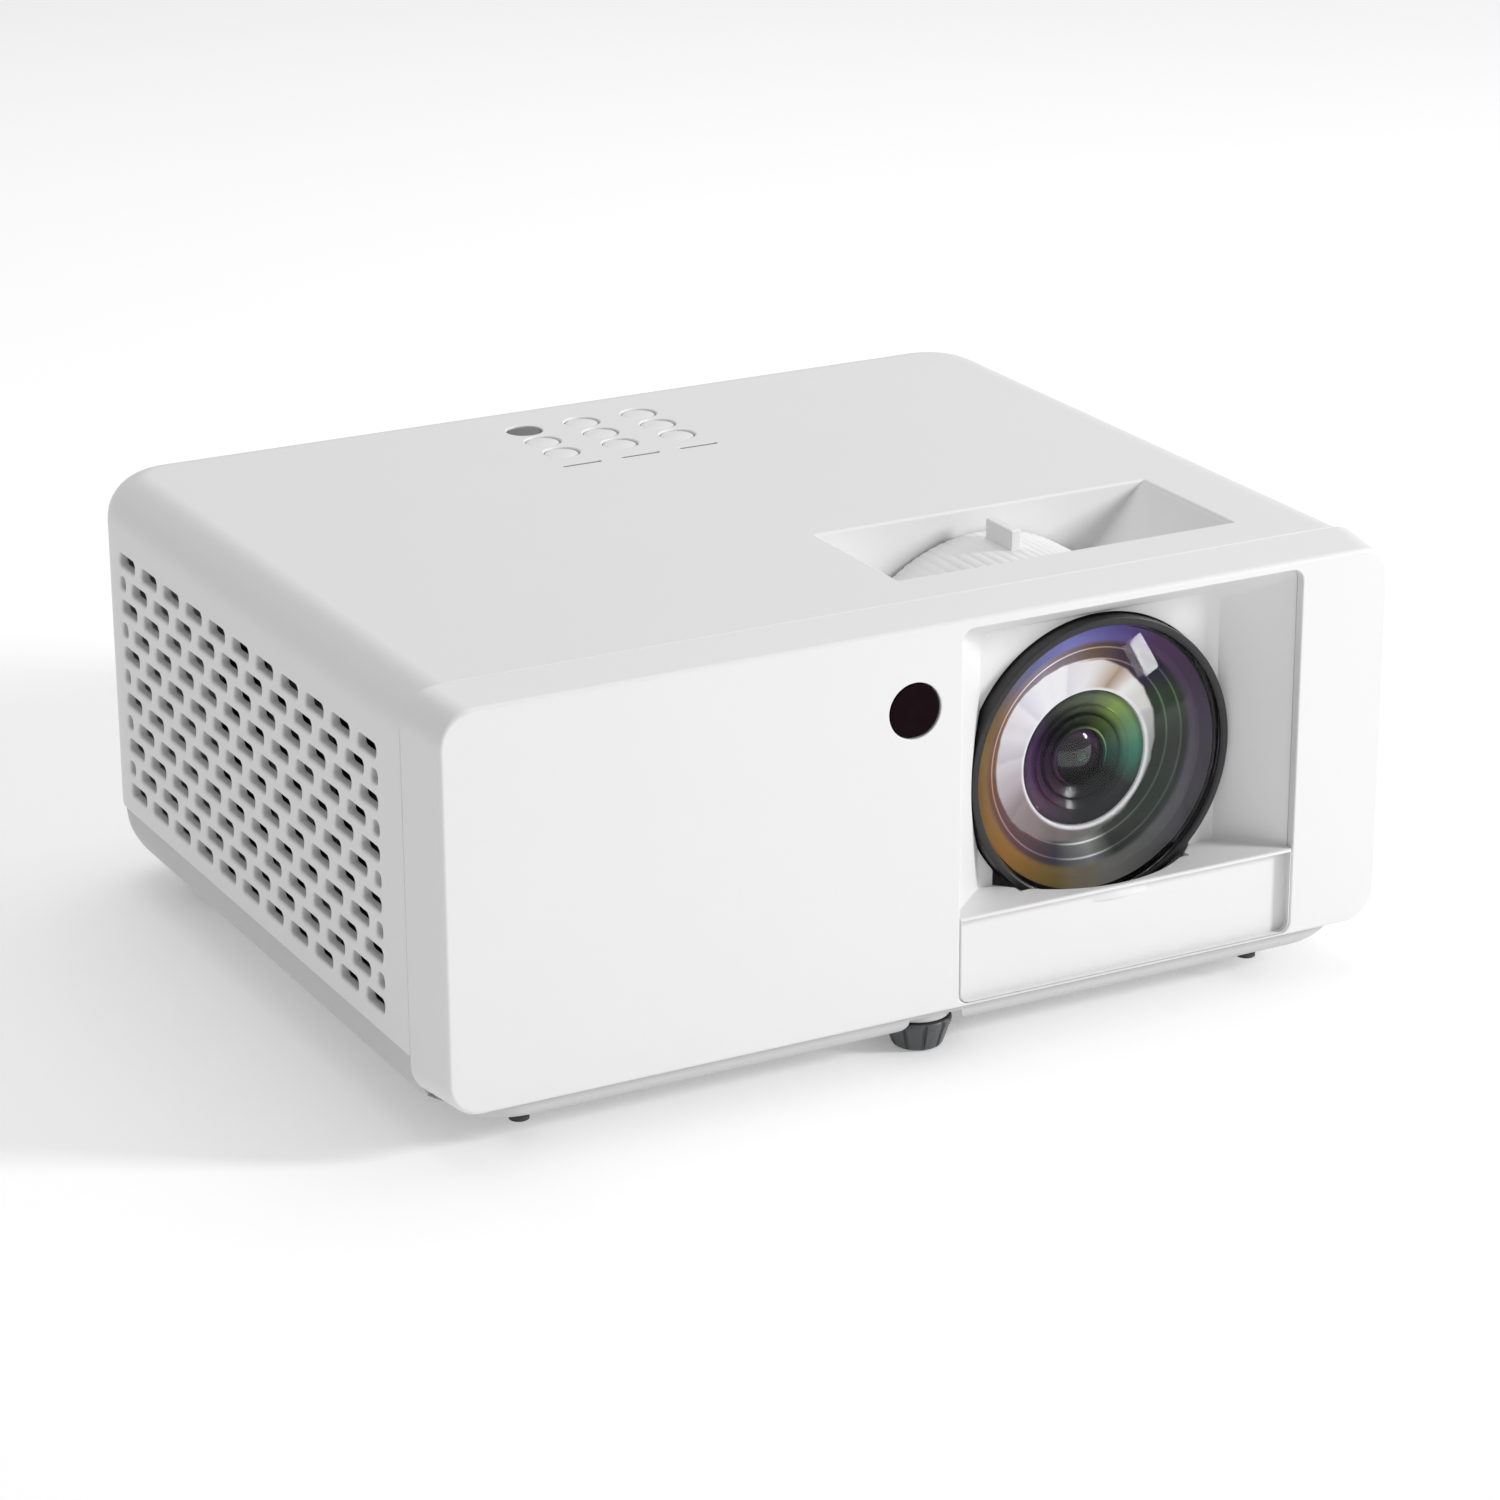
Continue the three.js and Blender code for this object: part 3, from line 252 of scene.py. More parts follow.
def shade(obj, limit=38):
    """Smooth shading in which a large flat stretch keeps its own normal up to a rounded edge."""
    mesh = obj.data
    faces = len(mesh.polygons)
    normals = np.empty(faces * 3)
    areas = np.empty(faces)
    totals = np.empty(faces, int)
    mesh.polygons.foreach_get("normal", normals)
    mesh.polygons.foreach_get("area", areas)
    mesh.polygons.foreach_get("loop_total", totals)
    normals = normals.reshape(-1, 3)
    loops = len(mesh.loops)
    vert = np.empty(loops, int)
    edge = np.empty(loops, int)
    mesh.loops.foreach_get("vertex_index", vert)
    mesh.loops.foreach_get("edge_index", edge)
    face = np.repeat(np.arange(faces), totals)
    group = list(range(faces))

    def root(i):
        while group[i] != i:
            group[i] = group[group[i]]
            i = group[i]
        return i

    order = np.argsort(edge, kind="stable")
    same = edge[order][1:] == edge[order][:-1]
    for a, b in zip(face[order][:-1][same], face[order][1:][same]):
        if normals[a] @ normals[b] > 0.99999:
            group[root(a)] = root(b)
    roots = np.array([root(i) for i in range(faces)])
    weight = np.bincount(roots, weights=areas, minlength=faces)[roots]
    order = np.argsort(vert, kind="stable")
    counts = np.bincount(vert, minlength=len(mesh.vertices))
    starts = np.cumsum(counts) - counts
    near = counts[vert]
    own = np.repeat(np.arange(loops), near)
    step = np.arange(near.sum()) - np.repeat(np.cumsum(near) - near, near)
    other = order[starts[vert[own]] + step]
    a, b = face[own], face[other]
    close = (normals[a] * normals[b]).sum(1) > math.cos(math.radians(limit))
    result = np.zeros((loops, 3))
    np.add.at(result, own, normals[b] * (weight[b] * close)[:, None])
    result /= np.maximum(np.linalg.norm(result, axis=1), 1e-12)[:, None]
    mesh.polygons.foreach_set("use_smooth", np.ones(faces, bool))
    mesh.normals_split_custom_set(result.tolist())
    return obj


def finish_piece(obj, name, body, slot, material, *nodes, limit=38):
    obj.name = name
    obj.data.name = name
    obj.data.materials.clear()
    obj.data.materials.append(material)
    shade(obj, limit)
    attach(obj, body)
    if nodes:
        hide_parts(*nodes)
    return obj


# ---- Materials ------------------------------------------------------------------------------
class Shader:
    """A node material around one Principled shader, with short ways to add nodes."""

    def __init__(self, name):
        self.material = bpy.data.materials.new(name)
        self.material.use_nodes = True
        self.tree = self.material.node_tree
        self.main = self.tree.nodes["Principled BSDF"]
        self.place = self.node("ShaderNodeTexCoord").outputs["Object"]

    def node(self, kind, **settings):
        node = self.tree.nodes.new(kind)
        for key, value in settings.items():
            setattr(node, key, value)
        return node

    def link(self, source, target):
        self.tree.links.new(source, target)

    def set(self, **values):
        names = {"colour": "Base Color", "rough": "Roughness", "metal": "Metallic", "coat": "Coat Weight"}
        for key, value in values.items():
            socket = self.main.inputs[names[key]]
            socket.default_value = (*value, 1) if key == "colour" else value
        return self

    def math(self, operation, a, b=0.0):
        node = self.node("ShaderNodeMath", operation=operation)
        for socket, value in zip(node.inputs, (a, b)):
            if hasattr(value, "is_linked"):
                self.link(value, socket)
            else:
                socket.default_value = value
        return node.outputs[0]

    def noise(self, scale, detail=3.0, rough=0.6):
        node = self.node("ShaderNodeTexNoise")
        self.link(self.place, node.inputs["Vector"])
        node.inputs["Scale"].default_value = scale
        node.inputs["Detail"].default_value = detail
        node.inputs["Roughness"].default_value = rough
        return node.outputs["Fac"]

    def remap(self, value, low, high, to_low=0.0, to_high=1.0, smooth=False):
        node = self.node("ShaderNodeMapRange")
        node.interpolation_type = "SMOOTHSTEP" if smooth else "LINEAR"
        self.link(value, node.inputs["Value"])
        for socket, number in zip(list(node.inputs)[1:5], (low, high, to_low, to_high)):
            socket.default_value = number
        return node.outputs["Result"]

    def ramp(self, value, stops):
        node = self.node("ShaderNodeValToRGB")
        while len(node.color_ramp.elements) < len(stops):
            node.color_ramp.elements.new(0.5)
        for element, (place, colour) in zip(node.color_ramp.elements, stops):
            element.position = place
            element.color = (*colour, 1)
        self.link(value, node.inputs["Fac"])
        return node.outputs["Color"]

    def mix(self, factor, a, b):
        node = self.node("ShaderNodeMix", data_type="RGBA")
        self.link(factor, node.inputs[0])
        for socket, value in ((node.inputs[6], a), (node.inputs[7], b)):
            if hasattr(value, "is_linked"):
                self.link(value, socket)
            else:
                socket.default_value = (*value, 1)
        return node.outputs[2]

    def product(self, a, b):
        node = self.node("ShaderNodeMix", data_type="RGBA", blend_type="MULTIPLY")
        node.inputs[0].default_value = 1.0
        self.link(a, node.inputs[6])
        self.link(b, node.inputs[7])
        return node.outputs[2]

    def bump(self, height, strength, distance):
        node = self.node("ShaderNodeBump")
        node.inputs["Strength"].default_value = strength
        node.inputs["Distance"].default_value = distance
        self.link(height, node.inputs["Height"])
        self.link(node.outputs["Normal"], self.main.inputs["Normal"])


def plastic(name, colour, rough, spread=0.02, grain=0.15, scale=2600.0):
    """Moulded plastic: a faint drift of tone and a fine spark-eroded grain."""
    made = Shader(name).set(colour=colour, rough=rough)
    drift = made.noise(38.0, 2.0)
    dark = tuple(c * (1 - spread) for c in colour)
    made.link(made.mix(drift, dark, colour), made.main.inputs["Base Color"])
    fine = made.noise(scale, 2.0)
    made.link(made.remap(fine, 0.3, 0.7, rough - 0.05, rough + 0.07), made.main.inputs["Roughness"])
    made.bump(fine, grain, 0.00004)
    return made.material


def metal(name, colour, rough, scale=900.0, stretch=(1, 1, 1), spread=0.12):
    """Metal with a drawn or cast grain; stretch draws the grain out along an axis."""
    made = Shader(name).set(colour=colour, rough=rough, metal=1.0)
    mapping = made.node("ShaderNodeMapping")
    mapping.inputs["Scale"].default_value = stretch
    made.link(made.place, mapping.inputs["Vector"])
    made.place = mapping.outputs["Vector"]
    grain = made.noise(scale, 4.0)
    dark = tuple(c * (1 - spread) for c in colour)
    made.link(made.mix(grain, dark, colour), made.main.inputs["Base Color"])
    made.link(made.remap(grain, 0.3, 0.7, rough - 0.08, rough + 0.1), made.main.inputs["Roughness"])
    made.bump(grain, 0.2, 0.00005)
    return made.material


def circuit(name):
    """Green solder mask with lighter tracks under it and pale pads."""
    made = Shader(name).set(rough=0.4)
    cells = made.node("ShaderNodeTexBrick")
    made.link(made.place, cells.inputs["Vector"])
    cells.inputs["Scale"].default_value = 170.0
    cells.inputs["Mortar Size"].default_value = 0.04
    cells.inputs["Color1"].default_value = (0.012, 0.10, 0.045, 1)
    cells.inputs["Color2"].default_value = (0.016, 0.13, 0.055, 1)
    cells.inputs["Mortar"].default_value = (0.05, 0.24, 0.11, 1)
    spots = made.node("ShaderNodeTexVoronoi")
    made.link(made.place, spots.inputs["Vector"])
    spots.inputs["Scale"].default_value = 260.0
    pads = made.remap(spots.outputs["Distance"], 0.10, 0.16, 1.0, 0.0)
    made.link(made.mix(pads, cells.outputs["Color"], (0.62, 0.60, 0.52)), made.main.inputs["Base Color"])
    made.bump(pads, 0.3, 0.0001)
    return made.material


WHITE = plastic("white_plastic", (0.80, 0.80, 0.80), 0.42, 0.012)
# The tray is painted darker than the case as shade: the shadow under the case is put into its colour.
TRAY_SHADE_PAINTED = plastic("tray_plastic_shade_painted", (0.60, 0.60, 0.60), 0.55, 0.03)
PANEL_GREY = plastic("panel_plastic", (0.62, 0.62, 0.61), 0.5, 0.03)
FOCUS_GREY = plastic("focus_plastic", (0.82, 0.82, 0.82), 0.45, 0.02)
KNOB_GREY = plastic("knob_plastic", (0.085, 0.087, 0.09), 0.42, 0.1)
POWER_GREY = plastic("power_key_plastic", (0.16, 0.16, 0.165), 0.45, 0.08)
BLACK = plastic("black_plastic", (0.012, 0.012, 0.013), 0.38, 0.2)
LAMP = plastic("lamp_diffuser", (0.10, 0.10, 0.105), 0.3, 0.05)
RUBBER = plastic("pad_rubber", (0.05, 0.05, 0.052), 0.85, 0.2, 0.4, 1500.0)
CIRCUIT = circuit("circuit_board")
CAST = metal("cast_alloy", (0.42, 0.43, 0.45), 0.5, 700.0)
SINK = metal("sink_alloy", (0.62, 0.63, 0.65), 0.38, 500.0, (1, 1, 0.05))
MOTOR = metal("motor_metal", (0.22, 0.22, 0.23), 0.4)
PHOSPHOR = metal("phosphor_coat", (0.75, 0.60, 0.18), 0.35)
SHEET = metal("sheet_steel", (0.70, 0.71, 0.72), 0.28, 700.0, (0.05, 1, 1))


def gloss_black():
    """Infrared filter: black with a deep red cast under a polished face."""
    made = Shader("infrared_filter").set(colour=(0.006, 0.003, 0.004), rough=0.04, coat=0.0)
    made.main.inputs["Specular IOR Level"].default_value = 0.03
    cloud = made.noise(300.0)
    made.link(made.mix(cloud, (0.004, 0.002, 0.003), (0.012, 0.004, 0.006)), made.main.inputs["Base Color"])
    return made.material


FILTER = gloss_black()

# ---- Case -----------------------------------------------------------------------------------
KEYS = ["power", "up", "menu", "left", "enter", "right", "back", "down", "source"]
LAMPS = ["power", "temperature", "light"]
KEY_FLANGE = 1.0


def case_form(inset, z0, front):
    """The case's outer form, or with an inset its inner one."""
    rings = []
    edge = EDGE - inset
    steps = 12
    levels = [(0, z0)]
    for i in range(steps + 1):
        angle = math.pi / 2 * i / steps
        levels.append((edge * (1 - math.cos(angle)), HEIGHT - EDGE + edge * math.sin(angle)))
    for grow, z in levels:
        x = HALF - inset - grow
        y = REAR - inset - grow
        radius = CORNER - inset - grow
        rings.append([(u, v, z) for u, v in rounded(-x, x, front, y, (0, radius, radius, 0), 10)])
    return stack("case_form", rings)


def pocket_ring(run, grow, z):
    """One level of the finger recess, run in from its ends and grown all round."""
    x0, x1, y0, y1 = POCKET
    outline = rounded(x0 + run - grow, x1 - run + grow, y0 - grow, y1 + grow, POCKET_CORNER + grow, 3)
    return [(u, v, z) for u, v in outline]


def pocket_walls():
    """Outside of the finger recess's walls, up to just under the case's top face."""
    slope = POCKET_DEPTH + 1.5 + POCKET_WALL * 0.4
    top = 1.0
    rings = [pocket_ring(depth, POCKET_WALL, HEIGHT - depth) for depth in (slope, top)]
    return stack("pocket_walls", rings)


def pocket_room():
    """Room of the finger recess: a trough with 45 degree ends and a rounded rim."""
    below_rim = 1.2
    rings = [pocket_ring(depth, 0, HEIGHT - depth) for depth in (POCKET_DEPTH, below_rim)]
    rings += [pocket_ring(down * 0.4, out, HEIGHT - down) for out, down in fillet(POCKET_RIM)]
    rings.append(pocket_ring(0, POCKET_RIM, HEIGHT + 2))
    return stack("pocket_room", rings)


def box_form(x0, x1, y0, y1, z0, z1):
    corners = ((x0, y0), (x1, y0), (x1, y1), (x0, y1))
    return stack("box_form", [[(u, v, z) for u, v in corners] for z in (z0, z1)])


def middle(node):
    """Centre of a CAD node in plan."""
    x0, x1, y0, y1 = limits(node)[:4]
    return (x0 + x1) / 2, (y0 + y1) / 2


def case_solid():
    """The case without its hollow: rounded at both seams, with a ledge that stands behind the front seam."""
    lip = 0.4
    outer = case_form(0, SEAM_Z, SEAM_Y)

    def at_front(point):
        return abs(point.y - SEAM_Y) < 0.01

    def on_front(a, b):
        return at_front(a) and at_front(b) and max(a.z, b.z) > SEAM_Z + 0.1

    def on_bottom(a, b):
        return max(a.z, b.z) < SEAM_Z + 0.01 and max(a.y, b.y) > SEAM_Y + 1

    soften(outer, lip, 2, on_front, 20)
    soften(outer, 0.3, 2, on_bottom, 20)
    return boolean(outer, "UNION", [case_form(lip, SEAM_Z + lip, SEAM_Y - LEDGE)])


def case_cuts():
    """Everything that opens the case: finger recess, lens room, keys, lamps, vents and rear sockets."""
    y0, y1 = POCKET[2:]
    axis = (LENS_X, LENS_Z)
    ring_room = turned("room", [(FOCUS_R + 0.6, RING[2] - 0.8), (FOCUS_R + 0.6, y1)], axis, "Y", 128)
    tube_room = turned("room", [(36, y0 - 8), (36, y1 + 8)], axis, "Y", 96)
    cuts = [pocket_room(), ring_room, tube_room]
    for name in KEYS:
        k = limits("key_" + name)
        radius = (k[1] - k[0]) / 2 - KEY_FLANGE
        outline = round_outline(*middle("key_" + name), radius + GAP)
        cuts.append(cutter(outline, TO_TOP, WALL + 1, 0.45))
    for name in LAMPS:
        k = limits("lamp_" + name)
        play = 0.15
        outline = rect_outline(k[0] - play, k[1] + play, k[2] - play, k[3] + play, 0.6)
        cuts.append(cutter(outline, TO_TOP, WALL + 1, 0.2))
    for side in ("left", "right"):
        g = limits(side + "_vent_grille")
        cuts.append(box_form(g[0] - 1, g[1] + 1, g[2], g[3], g[4], g[5]))
    p = limits("rear_socket_panel")
    border = 2
    outline = rect_outline(p[0] + border, p[1] - border, p[4] + border, p[5] - border, 1.5)
    cuts.append(cutter(outline, TO_REAR, WALL + 1, 0.6))
    i = limits("mains_inlet")
    outline = rect_outline(i[0] - GAP, i[1] + GAP, i[4] - GAP, i[5] + GAP, 1.2)
    cuts.append(cutter(outline, TO_REAR, WALL + 1, 0.4))
    return cuts


def case_piece():
    inner = case_form(WALL, SEAM_Z - 1, SEAM_Y - 2)
    shell = boolean(case_solid(), "DIFFERENCE", [inner])
    shell = boolean(shell, "UNION", [pocket_walls()])
    boolean(shell, "DIFFERENCE", case_cuts())
    return finish_piece(shell, "case_shell", HOUSING, "shell", WHITE, "top_case")


# ---- Vents ----------------------------------------------------------------------------------
SLOT_ROWS = 11
SLOT_COLUMNS = 11
SLOT_WEB_Y = 2.95
SLOT_WEB_Z = 2.25
SLOT_LEAN = 0.8
SLOT_CORNER = 1.7
SLOT_RIM = 0.75
SLOT_NARROW = 0.35
GRILLE_MARGIN = 1.3


def offset(points, grow):
    """A convex outline with each side moved outwards."""
    moved = []
    count = len(points)
    for i in range(count):
        before, here, after = (Vector(points[(i + k) % count]) for k in (-1, 0, 1))
        first = (here - before).normalized()
        second = (after - here).normalized()
        turn = first.x * second.y - first.y * second.x
        moved.append(here + (first - second) * (grow / turn))
    return [tuple(point) for point in moved]


def rounded_corners(points, radius, steps=4):
    result = []
    count = len(points)
    for i in range(count):
        before, here, after = (Vector(points[(i + k) % count]) for k in (-1, 0, 1))
        first = (before - here).normalized()
        second = (after - here).normalized()
        half = first.angle(second) / 2
        reach = min(radius / math.tan(half), 0.48 * min((before - here).length, (after - here).length))
        near = reach * math.tan(half)
        centre = here + (first + second).normalized() * (near / math.sin(half))
        start = here + first * reach - centre
        end = here + second * reach - centre
        sweep = start.angle_signed(end)
        for k in range(steps + 1):
            angle = -sweep * k / steps
            c, s = math.cos(angle), math.sin(angle)
            result.append((centre.x + start.x * c - start.y * s, centre.y + start.x * s + start.y * c))
    return result


def slot_corners(y, z, length, height, y0, y1):
    low = max(y - length / 2, y0)
    high = min(y + length / 2, y1)
    rise = height / 2
    lean = SLOT_LEAN if high - low > length - 0.01 else 0
    return [(low + lean, z - rise), (high, z - rise), (high - lean, z + rise), (low, z + rise)]


def slot_outline(corners, grow):
    wider = grow - SLOT_NARROW
    return rounded_corners(offset(corners, wider), SLOT_CORNER + wider)


def grille_piece(side):
    """A vent panel flush with the case: staggered slots with rounded corners and rims."""
    name = side + "_vent_grille"
    g = limits(name)
    place = TO_LEFT if side == "left" else TO_RIGHT
    y0, y1 = g[2] + GRILLE_MARGIN, g[3] - GRILLE_MARGIN
    work = bmesh.new()

    def loop(points, depth):
        return [work.verts.new(Vector(place(u, v, -depth)) * MM) for u, v in points]

    def edges(ring):
        return [work.edges.get(pair) or work.edges.new(pair) for pair in zip(ring, ring[1:] + ring[:1])]

    def strip(a, b):
        for i in range(len(a)):
            k = (i + 1) % len(a)
            work.faces.new((a[i], a[k], b[k], b[i]))

    border = [(g[2], g[4]), (g[3], g[4]), (g[3], g[5]), (g[2], g[5])]
    front = loop(border, 0)
    back = loop(border, WALL)
    strip(front, back)
    front_edges = edges(front)
    back_edges = edges(back)
    pitch = (y1 - y0 + SLOT_WEB_Y) / SLOT_COLUMNS
    step = (g[5] - g[4] - 2 * GRILLE_MARGIN + SLOT_WEB_Z) / SLOT_ROWS
    length, height = pitch - SLOT_WEB_Y, step - SLOT_WEB_Z
    top = g[5] - GRILLE_MARGIN - height / 2
    for row in range(SLOT_ROWS):
        shifted = row % 2
        for column in range(SLOT_COLUMNS + shifted):
            y = y0 + length / 2 + (column - 0.5 * shifted) * pitch
            corners = slot_corners(y, top - row * step, length, height, y0, y1)
            levels = [*reversed(fillet(SLOT_RIM, 4)), (0, WALL)]
            rings = [loop(slot_outline(corners, grow), down) for grow, down in levels]
            for a, b in zip(rings, rings[1:]):
                strip(a, b)
            front_edges += edges(rings[0])
            back_edges += edges(rings[-1])
    bmesh.ops.triangle_fill(work, use_beauty=True, edges=front_edges)
    bmesh.ops.triangle_fill(work, use_beauty=True, edges=back_edges)
    bmesh.ops.recalc_face_normals(work, faces=work.faces)
    mesh = bpy.data.meshes.new(name)
    work.to_mesh(mesh)
    work.free()
    obj = bpy.data.objects.new(name, mesh)
    bpy.context.scene.collection.objects.link(obj)
    return finish_piece(obj, side + "_vent", HOUSING, "shell", WHITE, name, limit=50)


# ---- Front ----------------------------------------------------------------------------------
def bezel_form(inset, y0, y1, front_round):
    """The bezel tapers from the case's outline to the smaller front plate, whose edge is rounded."""
    depth = SEAM_Y - FRONT
    bottom = BEZEL[4]

    def section(y, grow):
        near = (SEAM_Y - y) / depth
        half = (HALF - inset) * (1 - near * BEZEL_INSET / HALF) - grow
        top = HEIGHT - inset - near * BEZEL_DROP - grow
        radius = max(BEZEL_CORNER - inset - grow, 1)
        return [(u, y, v) for u, v in rounded(-half, half, bottom + inset + grow, top, radius, 10)]

    if front_round:
        rings = [section(y0 + down, grow) for grow, down in reversed(fillet(front_round, 6))]
        rear = [section(y1 - down, grow) for grow, down in fillet(0.3, 2)]
        return stack("bezel_form", rings + rear)
    return stack("bezel_form", [section(y0, 0), section(y1, 0)])


def bezel_piece():
    shell = bezel_form(0, FRONT, SEAM_Y - GAP, BEZEL_ROUND)
    x0, x1, z1 = RECESS[0], RECESS[1], RECESS[3]

    def opening(grow):
        low, high = INSERT_CORNER + grow, 3.2 + grow
        radii = (low, high, high, low)
        return rounded(x0 - grow, x1 + grow, INSERT[4] - GAP - grow, z1 + grow, radii, 8)

    insert_hole = cutter(opening, TO_FRONT, PLATE + 3, 0.45)
    ir = limits("ir_window")
    window = round_outline((ir[0] + ir[1]) / 2, (ir[4] + ir[5]) / 2, (ir[1] - ir[0]) / 2 + GAP, 96)
    ir_hole = cutter(window, TO_FRONT, PLATE + 3, 0.35)
    foot_room = turned("room", [(9.6, 0), (9.6, 24)], middle("front_foot"), "Z", 64)
    hollow = bezel_form(BEZEL_WALL, FRONT + PLATE, SEAM_Y + 1, 0)
    boolean(shell, "DIFFERENCE", [hollow, insert_hole, ir_hole, foot_room])
    return finish_piece(shell, "front_cover", HOUSING, "shell", WHITE, "front_bezel")


def recess_form(grow, front, back):
    """The flared room in front of the lens, or with grow its outside."""
    x0, x1, z0, z1 = RECESS
    rings = []
    for y in (front, back):
        near = (y - CUP_Y) / (RECESS_BACK - CUP_Y)
        run, drop = RECESS_TAPER * near, RECESS_SINK * near
        radii = (0.6 + grow, 3.2 + grow, 3.2 + grow, 0.6 + grow)
        outline = rounded(x0 + run - grow, x1 - run + grow, z0 - grow, z1 - drop + grow, radii, 8)
        rings.append([(u, y, v) for u, v in outline])
    return stack("recess_form", rings)


def recess_panel():
    """The recess's floor, which runs out into a flush panel with a rounded front edge."""
    x0, x1 = INSERT[0], INSERT[1]
    z0, floor = INSERT[4], RECESS[2]
    back = FRONT + PLATE
    under = floor - RECESS_WALL
    lip = [(FRONT + out, floor - down) for out, down in fillet(0.8, 5)]
    section = [(CUP_Y + 1, floor), (CUP_Y + 1, under), (back, under), (back, z0), (FRONT, z0), *lip]
    panel = stack("panel", [[(x, y, z) for y, z in section] for x in (x0 - 5, x1 + 5)])
    rim = 0.6
    rings = []
    for grow, down in [(-LEDGE, PLATE + 5), (-LEDGE, rim), (0, rim), *fillet(0.35, 3)]:
        radius = INSERT_CORNER - grow
        outline = rounded(x0 + grow, x1 - grow, z0 + grow, floor + 9, (radius, 1, 1, radius), 8)
        rings.append([(u, FRONT + down, v) for u, v in outline])
    return boolean(panel, "INTERSECT", [stack("outline", rings)])


def recess_piece():
    """The cup behind the front plate with its floor and panel, opened for the lens."""
    floor = RECESS[2]
    cup = recess_form(RECESS_WALL, CUP_Y, RECESS_BACK + RECESS_WALL)
    boolean(cup, "DIFFERENCE", [box_form(-FAR, FAR, FRONT - 1, 0, RECESS[3] + 0.5, FAR)])
    piece = boolean(recess_panel(), "UNION", [cup])
    room_r = RIM_R + 0.5
    lens_room = turned("room", [(room_r, RIM_Y - 3), (room_r, FRONT + 30)], (LENS_X, LENS_Z), "Y", 128)
    reach = math.sqrt(SCOOP**2 - (floor - LENS_Z) ** 2)
    scoop_centre = (LENS_X, FRONT + 1.5 + reach)
    floor_cut = turned("room", [(reach, floor - 4), (reach, floor + 6)], scoop_centre, "Z", 160)
    boolean(piece, "DIFFERENCE", [recess_form(0, FRONT + 1, RECESS_BACK), lens_room, floor_cut])
    return finish_piece(piece, "lens_surround", HOUSING, "shell", WHITE, "lens_recess")


# ---- Tray -----------------------------------------------------------------------------------
def tray_form(inset):
    """The tray's outer form, or with an inset its inner one: flared sides, rounded front and rear."""
    front_round = 4
    rear_round = 12
    half = TRAY[1] - inset
    low = TRAY[4] + inset
    top = SEAM_Z - GAP
    rise = top - low
    front = TRAY[2] + inset
    rear = TRAY[3] - inset
    flare = TRAY_FLARE - inset * 0.4
    rings = []
    steps = 14
    for i in range(steps + 1):
        angle = math.pi / 2 * (1 - i / steps)
        z = top - rise * math.sin(angle)
        side = flare * (1 - math.cos(angle))
        over = max(0, low + front_round - z)
        ahead = front_round - math.sqrt(max(0, front_round**2 - over**2))
        under = max(0, low + rear_round - z)
        behind = rear_round - math.sqrt(max(0, rear_round**2 - under**2))
        radius = max(CORNER - inset - 0.4 * side, 3)
        outline = rounded(-half + side, half - side, front + ahead, rear - behind, radius, 8)
        rings.append([(u, v, z) for u, v in outline])
    rings.append([(u, v, top + 6) for u, v, _ in rings[-1]])
    return stack("tray_form", rings)


def tray_piece():
    """The lower tray with a round well, a boss and a bore over each foot."""
    top = BEZEL[4] - GAP
    tray = tray_form(0)
    lid = box_form(-FAR, FAR, -FAR, FAR, SEAM_Z - GAP, 60)
    lip = box_form(-FAR, FAR, -FAR, SEAM_Y + GAP, top, 60)
    boolean(tray, "DIFFERENCE", [tray_form(TRAY_WALL), lid, lip])
    places = [middle(name + "_foot") for name in FOOT_NAMES]
    outside = WELL_R + WELL_WALL
    walls = []
    for place in places:
        wall = turned("well", [(outside, TRAY[4]), (outside, top)], place, "Z", 64)
        walls.append(boolean(wall, "INTERSECT", [tray_form(0)]))
    boolean(tray, "UNION", walls)
    wells = [turned("room", [(WELL_R, 0), (WELL_R, top - WELL_WALL)], place, "Z", 64) for place in places]
    boolean(tray, "DIFFERENCE", wells)
    low = KNOB_TOP + GAP
    profile = [(0, low), (7.6, low), (8.3, low + 0.5), (9.2, top - 0.01), (0, top - 0.01)]
    boolean(tray, "UNION", [turned("boss", profile, place, "Z", 64) for place in places])
    bores = [turned("bore", [(BORE_R, 0), (BORE_R, 30)], place, "Z", 32) for place in places]
    boolean(tray, "DIFFERENCE", bores)
    return finish_piece(tray, "tray", HOUSING, "tray", TRAY_SHADE_PAINTED, "bottom_case")


# ---- Lens -----------------------------------------------------------------------------------
def sphere_cap(radius, apex, rim, steps=24):
    """Points of a turned dome that bulges towards -Y, from its apex to its rim."""
    points = []
    for i in range(steps + 1):
        r = rim * i / steps
        points.append((r, apex + radius - math.sqrt(radius * radius - r * r)))
    return points


def glass(name, tint, ior=1.1):
    made = Shader(name).set(colour=tint, rough=0.0, coat=0.14)
    made.main.inputs["Transmission Weight"].default_value = 1.0
    made.main.inputs["IOR"].default_value = ior
    made.main.inputs["Coat Roughness"].default_value = 0.0
    made.main.inputs["Coat IOR"].default_value = 1.5
    return made.material


def polar(made, x, z):
    """Distance from a point of the lens's plane in millimetres, and the angle round it from 0 to 1."""
    parts = made.node("ShaderNodeSeparateXYZ")
    made.link(made.place, parts.inputs[0])
    dx = made.math("SUBTRACT", parts.outputs[0], x * MM)
    dz = made.math("SUBTRACT", parts.outputs[2], z * MM)
    square = made.math("ADD", made.math("MULTIPLY", dx, dx), made.math("MULTIPLY", dz, dz))
    radius = made.math("MULTIPLY", made.math("SQRT", square), 1000.0)
    angle = made.math("ARCTAN2", dz, dx)
    turn = made.math("FRACT", made.math("ADD", made.math("DIVIDE", angle, 2 * math.pi), 1.0))
    return radius, turn


